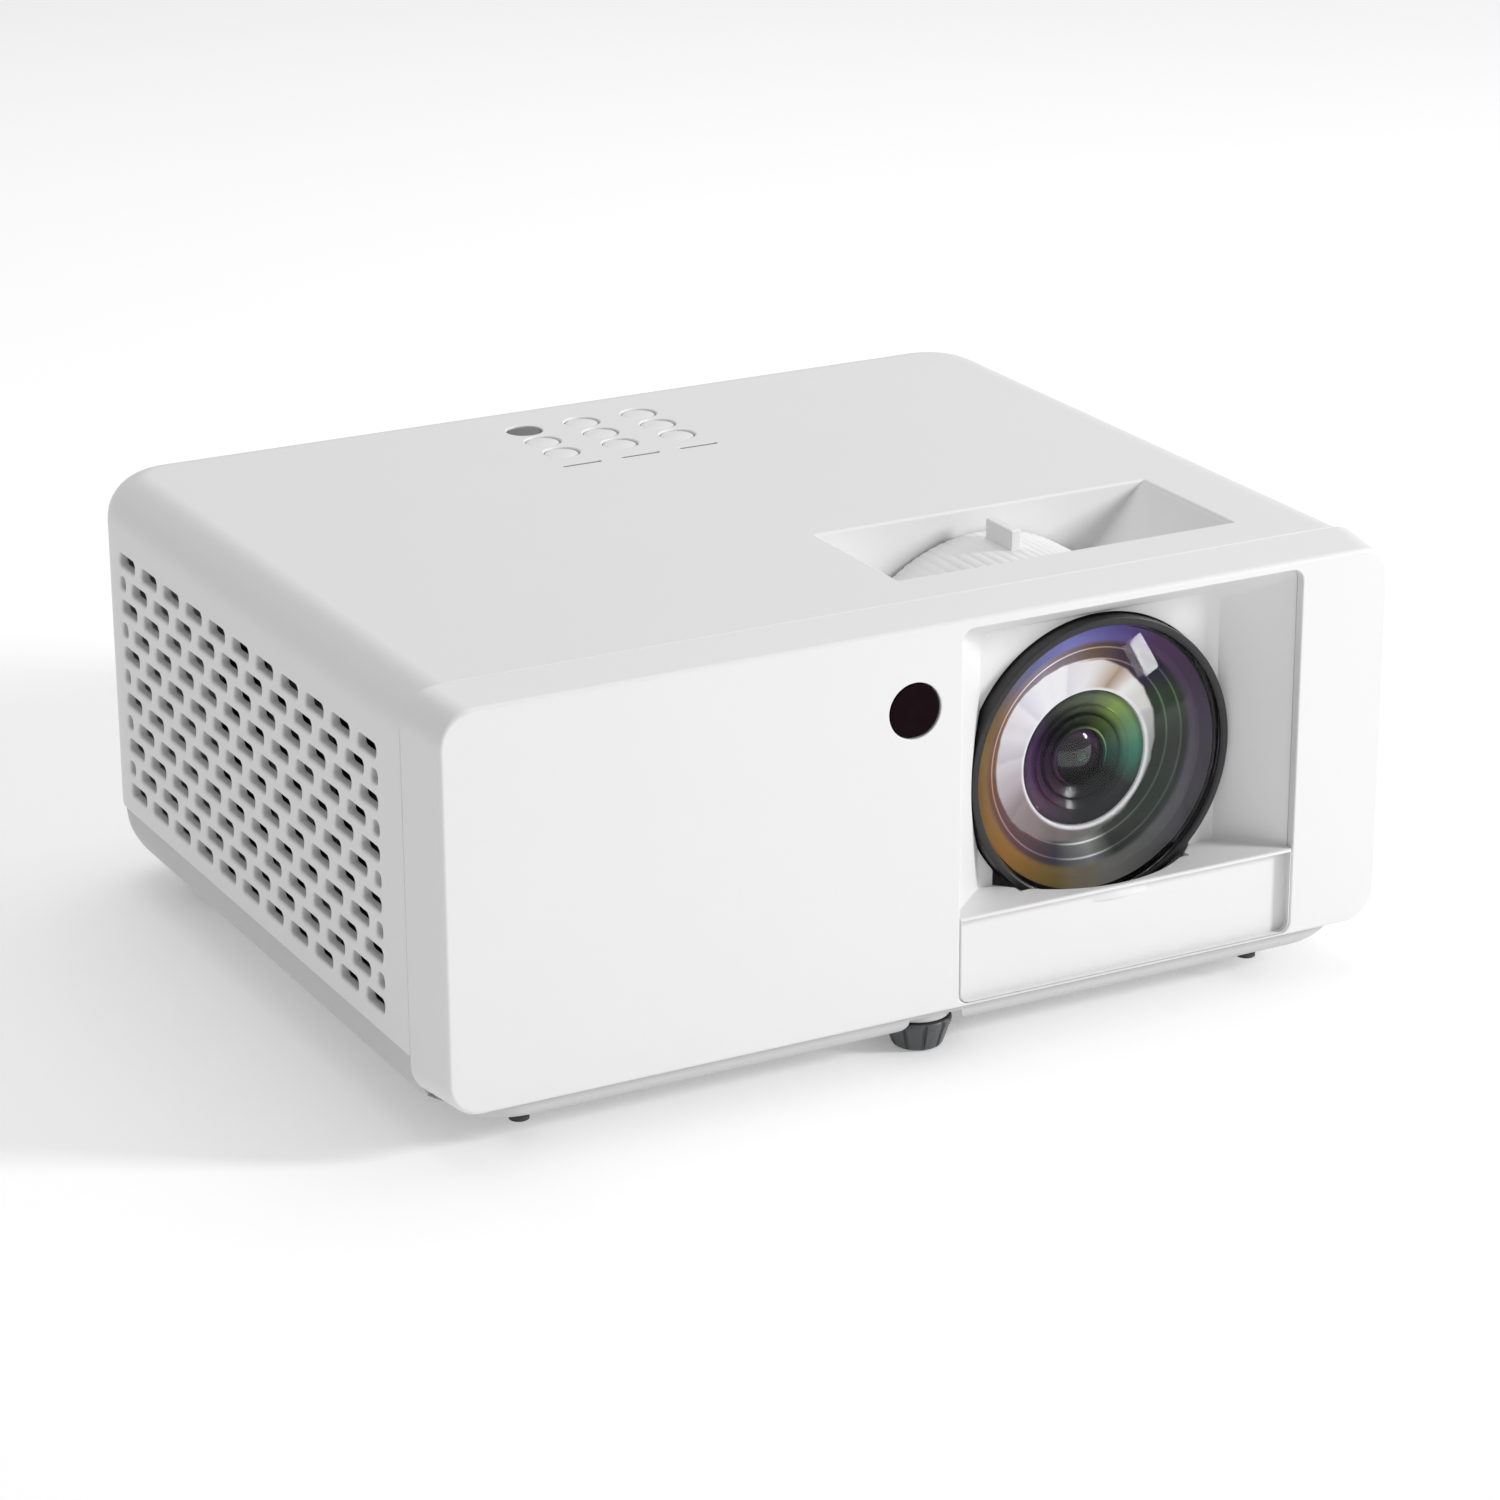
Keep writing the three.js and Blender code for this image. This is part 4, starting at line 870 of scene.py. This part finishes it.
def crescent_colour(made):
    """Pale reflections round the barrel, in rays; also the distance from their own centre."""
    radius, turn = polar(made, BARREL_X - 4.0, BARREL_Z + 3.4)
    ripple = made.noise(90.0, 3.0)
    wobble = made.math("ADD", radius, made.remap(ripple, 0.2, 0.8, -0.7, 0.7))
    colour = made.ramp(turn, [
        (0.00, (0.42, 0.44, 0.40)), (0.05, (0.75, 0.75, 0.70)), (0.12, (0.95, 0.93, 0.88)),
        (0.16, (0.50, 0.36, 0.24)), (0.20, (0.85, 0.82, 0.80)), (0.30, (0.98, 0.98, 1.00)),
        (0.42, (0.82, 0.80, 0.82)), (0.52, (0.62, 0.58, 0.60)), (0.60, (0.34, 0.27, 0.27)),
        (0.70, (0.22, 0.18, 0.17)), (0.80, (0.16, 0.16, 0.14)), (0.92, (0.30, 0.32, 0.29)),
        (1.00, (0.42, 0.44, 0.40)),
    ])
    rays = made.ramp(made.math("FRACT", made.math("MULTIPLY", turn, 9.0)), [
        (0.0, (1, 1, 1)), (0.42, (0.84, 0.83, 0.85)), (0.5, (1, 1, 1)),
        (0.8, (0.92, 0.91, 0.90)), (1.0, (1, 1, 1)),
    ])
    return made.product(colour, rays), wobble


def beyond_colour(made, radius, turn):
    """Dark, faintly coloured glass beyond the crescent, with painted reflections: lighter patches at some
    angles and two thin bright arcs of painted highlight.
    """
    colour = made.ramp(turn, [
        (0.00, (0.016, 0.024, 0.016)), (0.07, (0.030, 0.050, 0.024)), (0.12, (0.020, 0.016, 0.034)),
        (0.19, (0.06, 0.035, 0.050)), (0.25, (0.16, 0.11, 0.08)), (0.33, (0.34, 0.30, 0.34)),
        (0.42, (0.22, 0.14, 0.10)), (0.52, (0.16, 0.075, 0.045)), (0.62, (0.11, 0.055, 0.060)),
        (0.70, (0.030, 0.028, 0.040)), (0.76, (0.26, 0.27, 0.25)), (0.80, (0.030, 0.034, 0.030)),
        (0.90, (0.012, 0.022, 0.014)), (1.00, (0.016, 0.024, 0.016)),
    ])
    # Two thin bright arcs: painted highlights.
    arcs = made.ramp(made.remap(radius, 17.0, 34.0), [
        (0.00, (1, 1, 1)), (0.46, (1, 1, 1)), (0.48, (5.0, 5.2, 4.8)), (0.50, (1, 1, 1)),
        (0.66, (0.8, 0.8, 0.8)), (0.68, (4.0, 4.0, 4.2)), (0.70, (0.8, 0.8, 0.8)), (1.00, (1.2, 1.2, 1.2)),
    ])
    return made.product(colour, arcs)


def funnel_painted_reflections():
    """The coated element behind the front glass, coloured with painted reflections: a pale crescent round
    the barrel, dark beyond it.
    """
    made = Shader("lens_element_painted_reflections").set(rough=0.3, coat=0.0)
    # Faint emission: painted light, the element glows a little though it is no lamp.
    made.main.inputs["Emission Strength"].default_value = 0.14
    made.main.inputs["Specular IOR Level"].default_value = 0.1
    radius, turn = polar(made, LENS_X, LENS_Z)
    near = polar(made, BARREL_X, BARREL_Z)[0]
    crescent, reach = crescent_colour(made)
    beyond = beyond_colour(made, radius, turn)
    # Outer band: painted coating reflections, violet-blue at the top and amber at the left and lower left.
    outer = made.ramp(turn, [
        (0.00, (0.075, 0.062, 0.090)), (0.08, (0.07, 0.045, 0.085)), (0.16, (0.10, 0.045, 0.12)),
        (0.22, (0.13, 0.10, 0.34)), (0.29, (0.20, 0.21, 0.50)), (0.35, (0.15, 0.16, 0.30)),
        (0.42, (0.20, 0.12, 0.045)), (0.52, (0.22, 0.12, 0.035)), (0.62, (0.30, 0.14, 0.03)),
        (0.70, (0.16, 0.11, 0.02)), (0.78, (0.20, 0.20, 0.18)), (0.88, (0.10, 0.10, 0.11)),
        (1.00, (0.075, 0.062, 0.090)),
    ])
    colour = made.mix(made.remap(reach, 24.2, 25.0, smooth=True), crescent, beyond)
    colour = made.mix(made.remap(radius, 29.6, 31.0, smooth=True), colour, outer)
    # A pale ring just outside the barrel, painted as a highlight.
    edge = made.remap(near, 18.6, 19.6, smooth=True)
    colour = made.mix(edge, (0.92, 0.92, 0.92), colour)
    made.link(colour, made.main.inputs["Emission Color"])
    made.link(colour, made.main.inputs["Base Color"])
    return made.material


def barrel_paint():
    """Dark barrel rings with painted reflections: a violet one at the left and a green glint at the upper
    right, and painted highlights on some ring edges.
    """
    made = Shader("barrel_coating").set(rough=0.25, coat=0.15)
    made.main.inputs["Specular IOR Level"].default_value = 0.15
    radius, turn = polar(made, BARREL_X, BARREL_Z)
    # Painted coating reflections by angle: a green glint at the upper right, violet at the left.
    cast = made.ramp(turn, [
        (0.00, (0.03, 0.16, 0.10)), (0.06, (0.10, 0.22, 0.10)), (0.14, (0.18, 0.26, 0.06)),
        (0.22, (0.07, 0.09, 0.05)), (0.35, (0.02, 0.022, 0.022)), (0.46, (0.04, 0.012, 0.055)),
        (0.60, (0.055, 0.014, 0.05)), (0.72, (0.012, 0.012, 0.014)), (0.90, (0.012, 0.016, 0.014)),
        (1.00, (0.03, 0.16, 0.10)),
    ])
    # Ring tones; the brightest bands are painted highlights on ring edges.
    bands = made.ramp(made.remap(radius, 0.0, 18.0), [
        (0.00, (0.10, 0.10, 0.10)), (0.40, (0.14, 0.14, 0.14)), (0.43, (1.6, 1.6, 1.6)),
        (0.46, (0.3, 0.3, 0.3)), (0.60, (0.6, 0.6, 0.6)), (0.64, (0.25, 0.25, 0.25)),
        (0.72, (1.3, 1.3, 1.3)), (0.92, (1.6, 1.6, 1.6)), (1.00, (0.8, 0.8, 0.8)),
    ])
    made.link(made.product(cast, bands), made.main.inputs["Base Color"])
    return made.material


def core_paint():
    """Inner lens: near black, with a green spot of painted reflection in the middle and a painted violet
    highlight on one side of its edge.
    """
    made = Shader("core_glass").set(colour=(0.006, 0.006, 0.007), rough=0.05, coat=0.3)
    radius, turn = polar(made, BARREL_X, BARREL_Z)
    # Painted violet highlight on one side of the edge.
    tint = made.ramp(turn, [
        (0.0, (0.05, 0.02, 0.06)), (0.15, (0.08, 0.04, 0.09)), (0.4, (0.008, 0.008, 0.01)),
        (0.8, (0.006, 0.006, 0.007)), (1.0, (0.05, 0.02, 0.06)),
    ])
    # Green spot in the middle: a painted reflection.
    centre = made.ramp(made.remap(radius, 0.0, CORE_R), [
        (0.0, (0.01, 0.03, 0.015)), (0.18, (0.02, 0.06, 0.03)), (0.22, (0.003, 0.003, 0.003)),
        (0.5, (0.004, 0.004, 0.005)), (0.75, (0.012, 0.010, 0.014)), (1.0, (0.01, 0.01, 0.01)),
    ])
    mask = made.remap(radius, 4.2, 5.4, smooth=True)
    made.link(made.mix(mask, centre, tint), made.main.inputs["Base Color"])
    return made.material


def rim_piece():
    lip = DOME[1] - LENS_X + GAP
    front, back = RIM[2], RIM[3]
    shelf = 31
    profile = [
        (lip, front + 0.5), (lip + 0.4, front + 0.1), (lip + 0.8, front), (RIM_R - 0.5, front),
        (RIM_R - 0.1, front + 0.2), (RIM_R, front + 0.6), (RIM_R, back), (shelf, back),
        (shelf, back - 2), (lip, back - 2),
    ]
    piece = turned("lens_rim", profile, (LENS_X, LENS_Z), "Y", 160, closed=True)
    finish_piece(piece, "lens_ring", HOUSING, "black", BLACK, "lens_rim")


def dome_piece():
    rim = DOME[1] - LENS_X
    outer = sphere_cap(62, DOME[2], rim, 30)
    inner = sphere_cap(58, DOME[2] + 4, rim, 30)
    piece = turned("dome", outer + inner[::-1], (LENS_X, LENS_Z), "Y", 160)
    coated = glass("coated_glass", (0.98, 0.98, 1.0))
    finish_piece(piece, "lens_dome", HOUSING, "lens_glass", coated, "lens_front_glass")


def funnel_piece():
    """The coated element: edge centred on the lens, bore on the barrel, depths from the lens ring."""
    edge = 35.0
    levels = [
        (edge, 4.4), (33.0, 5.4), (29.0, 7.2), (24.0, 9.3), (20.5, 10.4), (19.0, 10.7), (18.4, 11.0),
        (BARREL_R, 12.5), (19.0, 14.5), (29.5, 12.0), (33.0, 10.0),
    ]
    rings = []
    for radius, depth in levels:
        share = (edge - radius) / (edge - BARREL_R)
        x = LENS_X + share * (BARREL_X - LENS_X)
        z = LENS_Z + share * (BARREL_Z - LENS_Z)
        rings.append([(u, RIM_Y + depth, v) for u, v in circle(x, z, radius, 160)])
    piece = stack("funnel", rings, closed=True)
    finish_piece(piece, "lens_element_painted_reflections", HOUSING, "lens_glass", funnel_painted_reflections())


def barrel_pieces():
    """The stepped inner barrel and the small lens at its middle. Depths are from the ring's front."""
    axis = (BARREL_X, BARREL_Z)
    levels = [
        (18.0, 11.4), (15.6, 12.4), (14.2, 12.6), (13.9, 11.7), (11.4, 13.4), (11.1, 12.4), (8.4, 14.0),
        (7.9, 13.0), (7.4, 12.8), (7.2, 15.0), (7.2, 21.0), (15.0, 23.0), (18.0, 21.0), (18.0, 12.6),
    ]
    profile = [(radius, RIM_Y + depth) for radius, depth in levels]
    piece = turned("barrel", profile, axis, "Y", 128, closed=True)
    finish_piece(piece, "lens_barrel", HOUSING, "black", barrel_paint(), "lens_baffle")
    back = RIM_Y + 19.0
    core = sphere_cap(11.0, RIM_Y + 12.4, CORE_R, 12) + [(CORE_R, back), (0, back)]
    piece = turned("core", core, axis, "Y", 96)
    finish_piece(piece, "lens_core", HOUSING, "lens_glass", core_paint(), "lens_inner_glass")


# ---- Focus ring -----------------------------------------------------------------------------
def ribbed_ring(radius, y, groove):
    """A ring of points about the lens axis, with a shallow groove before each rib."""
    ribs = 104
    per_rib = 6
    points = []
    for i in range(ribs * per_rib):
        angle = 2 * math.pi * i / (ribs * per_rib)
        r = radius - groove if i % per_rib in (0, 1) else radius
        points.append((LENS_X + r * math.cos(angle), y, LENS_Z + r * math.sin(angle)))
    return points


def focus_piece():
    """The knurled focus ring and its finger tab."""
    groove = 0.14
    bore = 35.5
    front, back = RING[2], RING[3]
    levels = [
        (bore, front, 0), (FOCUS_R - 0.8, front, 0), (FOCUS_R - 0.2, front + 0.25, groove),
        (FOCUS_R, front + 0.8, groove), (FOCUS_R, back - 0.8, groove), (FOCUS_R - 0.2, back - 0.25, groove),
        (FOCUS_R - 0.8, back, 0), (bore, back, 0),
    ]
    body = stack("focus", [ribbed_ring(*level) for level in levels], closed=True)
    half = 1.6
    top = RING[5]
    tab = box_form(LENS_X - half, LENS_X + half, back - 19, back - 6, LENS_Z + FOCUS_R - 2, top)
    soften(tab, 0.5, 3, lambda a, b: max(a.z, b.z) > top - 0.1)
    boolean(body, "UNION", [tab])
    return finish_piece(body, "focus_wheel", "focus", "focus", FOCUS_GREY, "focus_ring")


# ---- Keys and lamps -------------------------------------------------------------------------
def key_pieces():
    """Keys with a flange under the case's top face and a slightly domed cap."""
    round_edge = 0.45
    dome = 0.3
    for name in KEYS:
        node = "key_" + name
        k = limits(node)
        bottom, top = k[4], k[5]
        flange = (k[1] - k[0]) / 2
        radius = flange - KEY_FLANGE
        step = bottom + 1.4
        cap = radius - round_edge
        profile = [
            (0, bottom), (flange, bottom), (flange, step), (radius, step), (radius, top - 0.75),
            (radius - 0.12, top - 0.5), (cap, top - dome),
        ]
        for i in range(1, 9):
            left = 1 - i / 8
            profile.append((max(0, cap * left), top - dome * left**2))
        piece = turned(node, profile, middle(node), "Z", 64)
        slot, material = ("knob", POWER_GREY) if name == "power" else ("shell", WHITE)
        finish_piece(piece, "button_" + name, node + "_body", slot, material, node)


def lamp_pieces():
    for name in LAMPS:
        node = "lamp_" + name
        k = limits(node)
        outline = rect_outline(k[0], k[1], k[2], k[3], 0.5, 4)
        rings = [[(u, v, k[4]) for u, v in outline(0)]]
        rings += [[(u, v, k[5] - down) for u, v in outline(-grow)] for grow, down in fillet(0.2, 2)]
        piece = stack(node, rings)
        finish_piece(piece, "indicator_" + name, HOUSING, "lamp", LAMP, node)


# ---- Feet -----------------------------------------------------------------------------------
def foot_pieces():
    """Screw feet: a tapered knob with narrow grip grooves and a plain stem."""
    steps = 120
    grooves = 10
    stem = 3
    for name in FOOT_NAMES:
        node = name + "_foot"
        f = limits(node)
        x, y = middle(node)
        wide = (f[1] - f[0]) / 2
        top = f[5]
        levels = [
            (0, 0, 0), (5.6, 0, 0), (6.3, 0.25, 0), (6.8, 1.0, 0.55), (wide - 0.55, 5.4, 0.8),
            (wide, 6.6, 0.8), (wide, KNOB_TOP - 0.6, 0.5), (wide - 0.3, KNOB_TOP - 0.1, 0),
            (wide - 0.8, KNOB_TOP, 0), (stem, KNOB_TOP, 0), (stem, top - 0.4, 0), (stem - 0.4, top, 0),
            (0, top, 0),
        ]
        rings = []
        for radius, z, dip in levels:
            ring = []
            for i in range(steps):
                angle = 2 * math.pi * i / steps
                inside = (i % (steps // grooves)) in (0, 1)
                r = max(radius - (dip if inside else 0), 0.01)
                ring.append((x + r * math.cos(angle), y + r * math.sin(angle), z))
            rings.append(ring)
        piece = stack(node, rings)
        finish_piece(piece, name + "_screw_foot", name + "_leg", "knob", KNOB_GREY, node)


# ---- Infrared window ------------------------------------------------------------------------
def ir_piece():
    """The round infrared window, very slightly domed."""
    k = limits("ir_window")
    radius = (k[1] - k[0]) / 2
    front, back = k[2], k[3]
    dome = 0.05
    profile = [
        (0, back), (radius, back), (radius, front + 0.5), (radius - 0.15, front + 0.2),
        (radius - 0.5, front + dome),
    ]
    profile += [(radius * (1 - i / 8), front + dome * (1 - i / 8)) for i in range(1, 9)]
    piece = turned("ir", profile, ((k[0] + k[1]) / 2, (k[4] + k[5]) / 2), "Y", 96)
    finish_piece(piece, "infrared_window", HOUSING, "ir_gloss", FILTER, "ir_window")


# ---- Pieces ---------------------------------------------------------------------------------
case_piece()
grille_piece("left")
grille_piece("right")
bezel_piece()
recess_piece()
tray_piece()
rim_piece()
dome_piece()
funnel_piece()
barrel_pieces()
focus_piece()
key_pieces()
lamp_pieces()
foot_pieces()
ir_piece()

# ---- CAD nodes that stay, with finer materials ----------------------------------------------
FINISHES = {
    "lens_tube": BLACK, "rear_socket_panel": PANEL_GREY, "front_pad_left": RUBBER, "front_pad_right": RUBBER,
    "optical_engine": CAST, "laser_module": CAST, "imaging_heatsink": SINK, "laser_heatsink": SINK,
    "wheel_motor": MOTOR, "phosphor_wheel": PHOSPHOR, "imaging_board": CIRCUIT, "main_board": CIRCUIT,
    "power_board": CIRCUIT, "keypad_board": CIRCUIT, "ir_receiver": CIRCUIT, "board_shield": SHEET,
    "hdmi_socket_1": SHEET, "hdmi_socket_2": SHEET, "usb_socket": SHEET, "audio_socket": SHEET,
    "serial_socket": SHEET, "mains_inlet": BLACK, "speaker": BLACK, "front_foot_clip": SHEET,
    "rear_left_foot_clip": SHEET, "rear_right_foot_clip": SHEET, "exhaust_fan_frame": BLACK,
    "exhaust_fan_rotor": BLACK, "intake_fan_frame": BLACK, "intake_fan_rotor": BLACK,
}
for node, finish in FINISHES.items():
    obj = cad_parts[node]
    obj.data.materials.clear()
    obj.data.materials.append(finish)


# ---- Stage ----------------------------------------------------------------------------------
def look_along(direction, roll=0.0):
    """Turn that points -Z along the direction with the X axis level, or rolled by some degrees."""
    forward = direction.normalized()
    right = forward.cross(Vector((0, 0, 1))).normalized()
    up = right.cross(forward)
    turn = Matrix((right, up, -forward)).transposed()
    return turn @ Matrix.Rotation(math.radians(roll), 3, "Z")


def camera():
    """A long lens from the front left, above the case."""
    yaw, pitch = math.radians(28.05), math.radians(20.35)
    level = math.cos(pitch)
    forward = Vector((math.sin(yaw) * level, math.cos(yaw) * level, -math.sin(pitch)))
    roll = -0.25
    place = Matrix.Translation((-0.539, -1.0258, 0.4768))
    data = bpy.data.cameras.new("camera")
    data.lens = 109.9
    data.sensor_width = 36
    obj = bpy.data.objects.new("camera", data)
    obj.matrix_world = place @ look_along(forward, roll).to_4x4()
    bpy.context.scene.collection.objects.link(obj)
    bpy.context.scene.camera = obj


def area_light(name, place, target, size, power):
    data = bpy.data.lights.new(name, "AREA")
    data.shape = "RECTANGLE"
    data.size, data.size_y = size
    data.energy = power
    obj = bpy.data.objects.new(name, data)
    direction = Vector(target) - Vector(place)
    obj.matrix_world = Matrix.Translation(place) @ look_along(direction).to_4x4()
    bpy.context.scene.collection.objects.link(obj)


def surroundings():
    """A white studio: the camera sees pure white, the object a softer one, over a pale floor."""
    world = bpy.data.worlds.new("studio")
    world.use_nodes = True
    tree = world.node_tree
    back = tree.nodes["Background"]
    back.inputs["Color"].default_value = (1, 1, 1, 1)
    back.inputs["Strength"].default_value = 0.47
    shown = tree.nodes.new("ShaderNodeBackground")
    shown.inputs["Color"].default_value = (1, 1, 1, 1)
    shown.inputs["Strength"].default_value = 1.0
    rays = tree.nodes.new("ShaderNodeLightPath")
    mix = tree.nodes.new("ShaderNodeMixShader")
    tree.links.new(rays.outputs["Is Camera Ray"], mix.inputs[0])
    tree.links.new(back.outputs[0], mix.inputs[1])
    tree.links.new(shown.outputs[0], mix.inputs[2])
    tree.links.new(mix.outputs[0], tree.nodes["World Output"].inputs["Surface"])
    bpy.context.scene.world = world
    reach = 3000
    floor = box_form(-reach, reach, -reach, reach, -2, -0.05)
    made = Shader("floor_paper").set(colour=(0.9, 0.9, 0.9), rough=0.9)
    made.main.inputs["Emission Color"].default_value = (1, 1, 1, 1)
    made.main.inputs["Emission Strength"].default_value = 0.2
    cloud = made.noise(3.0)
    made.link(made.mix(cloud, (0.89, 0.89, 0.89), (0.91, 0.91, 0.91)), made.main.inputs["Base Color"])
    floor.data.materials.append(made.material)


camera()
surroundings()
area_light("key", (1.55, -1.15, 0.82), (0, 0, 0.06), (0.32, 0.5), 27)
area_light("top", (0.2, 0.5, 1.6), (0, 0, 0.06), (1.4, 1.4), 9)
bpy.context.scene.view_settings.view_transform = "Standard"
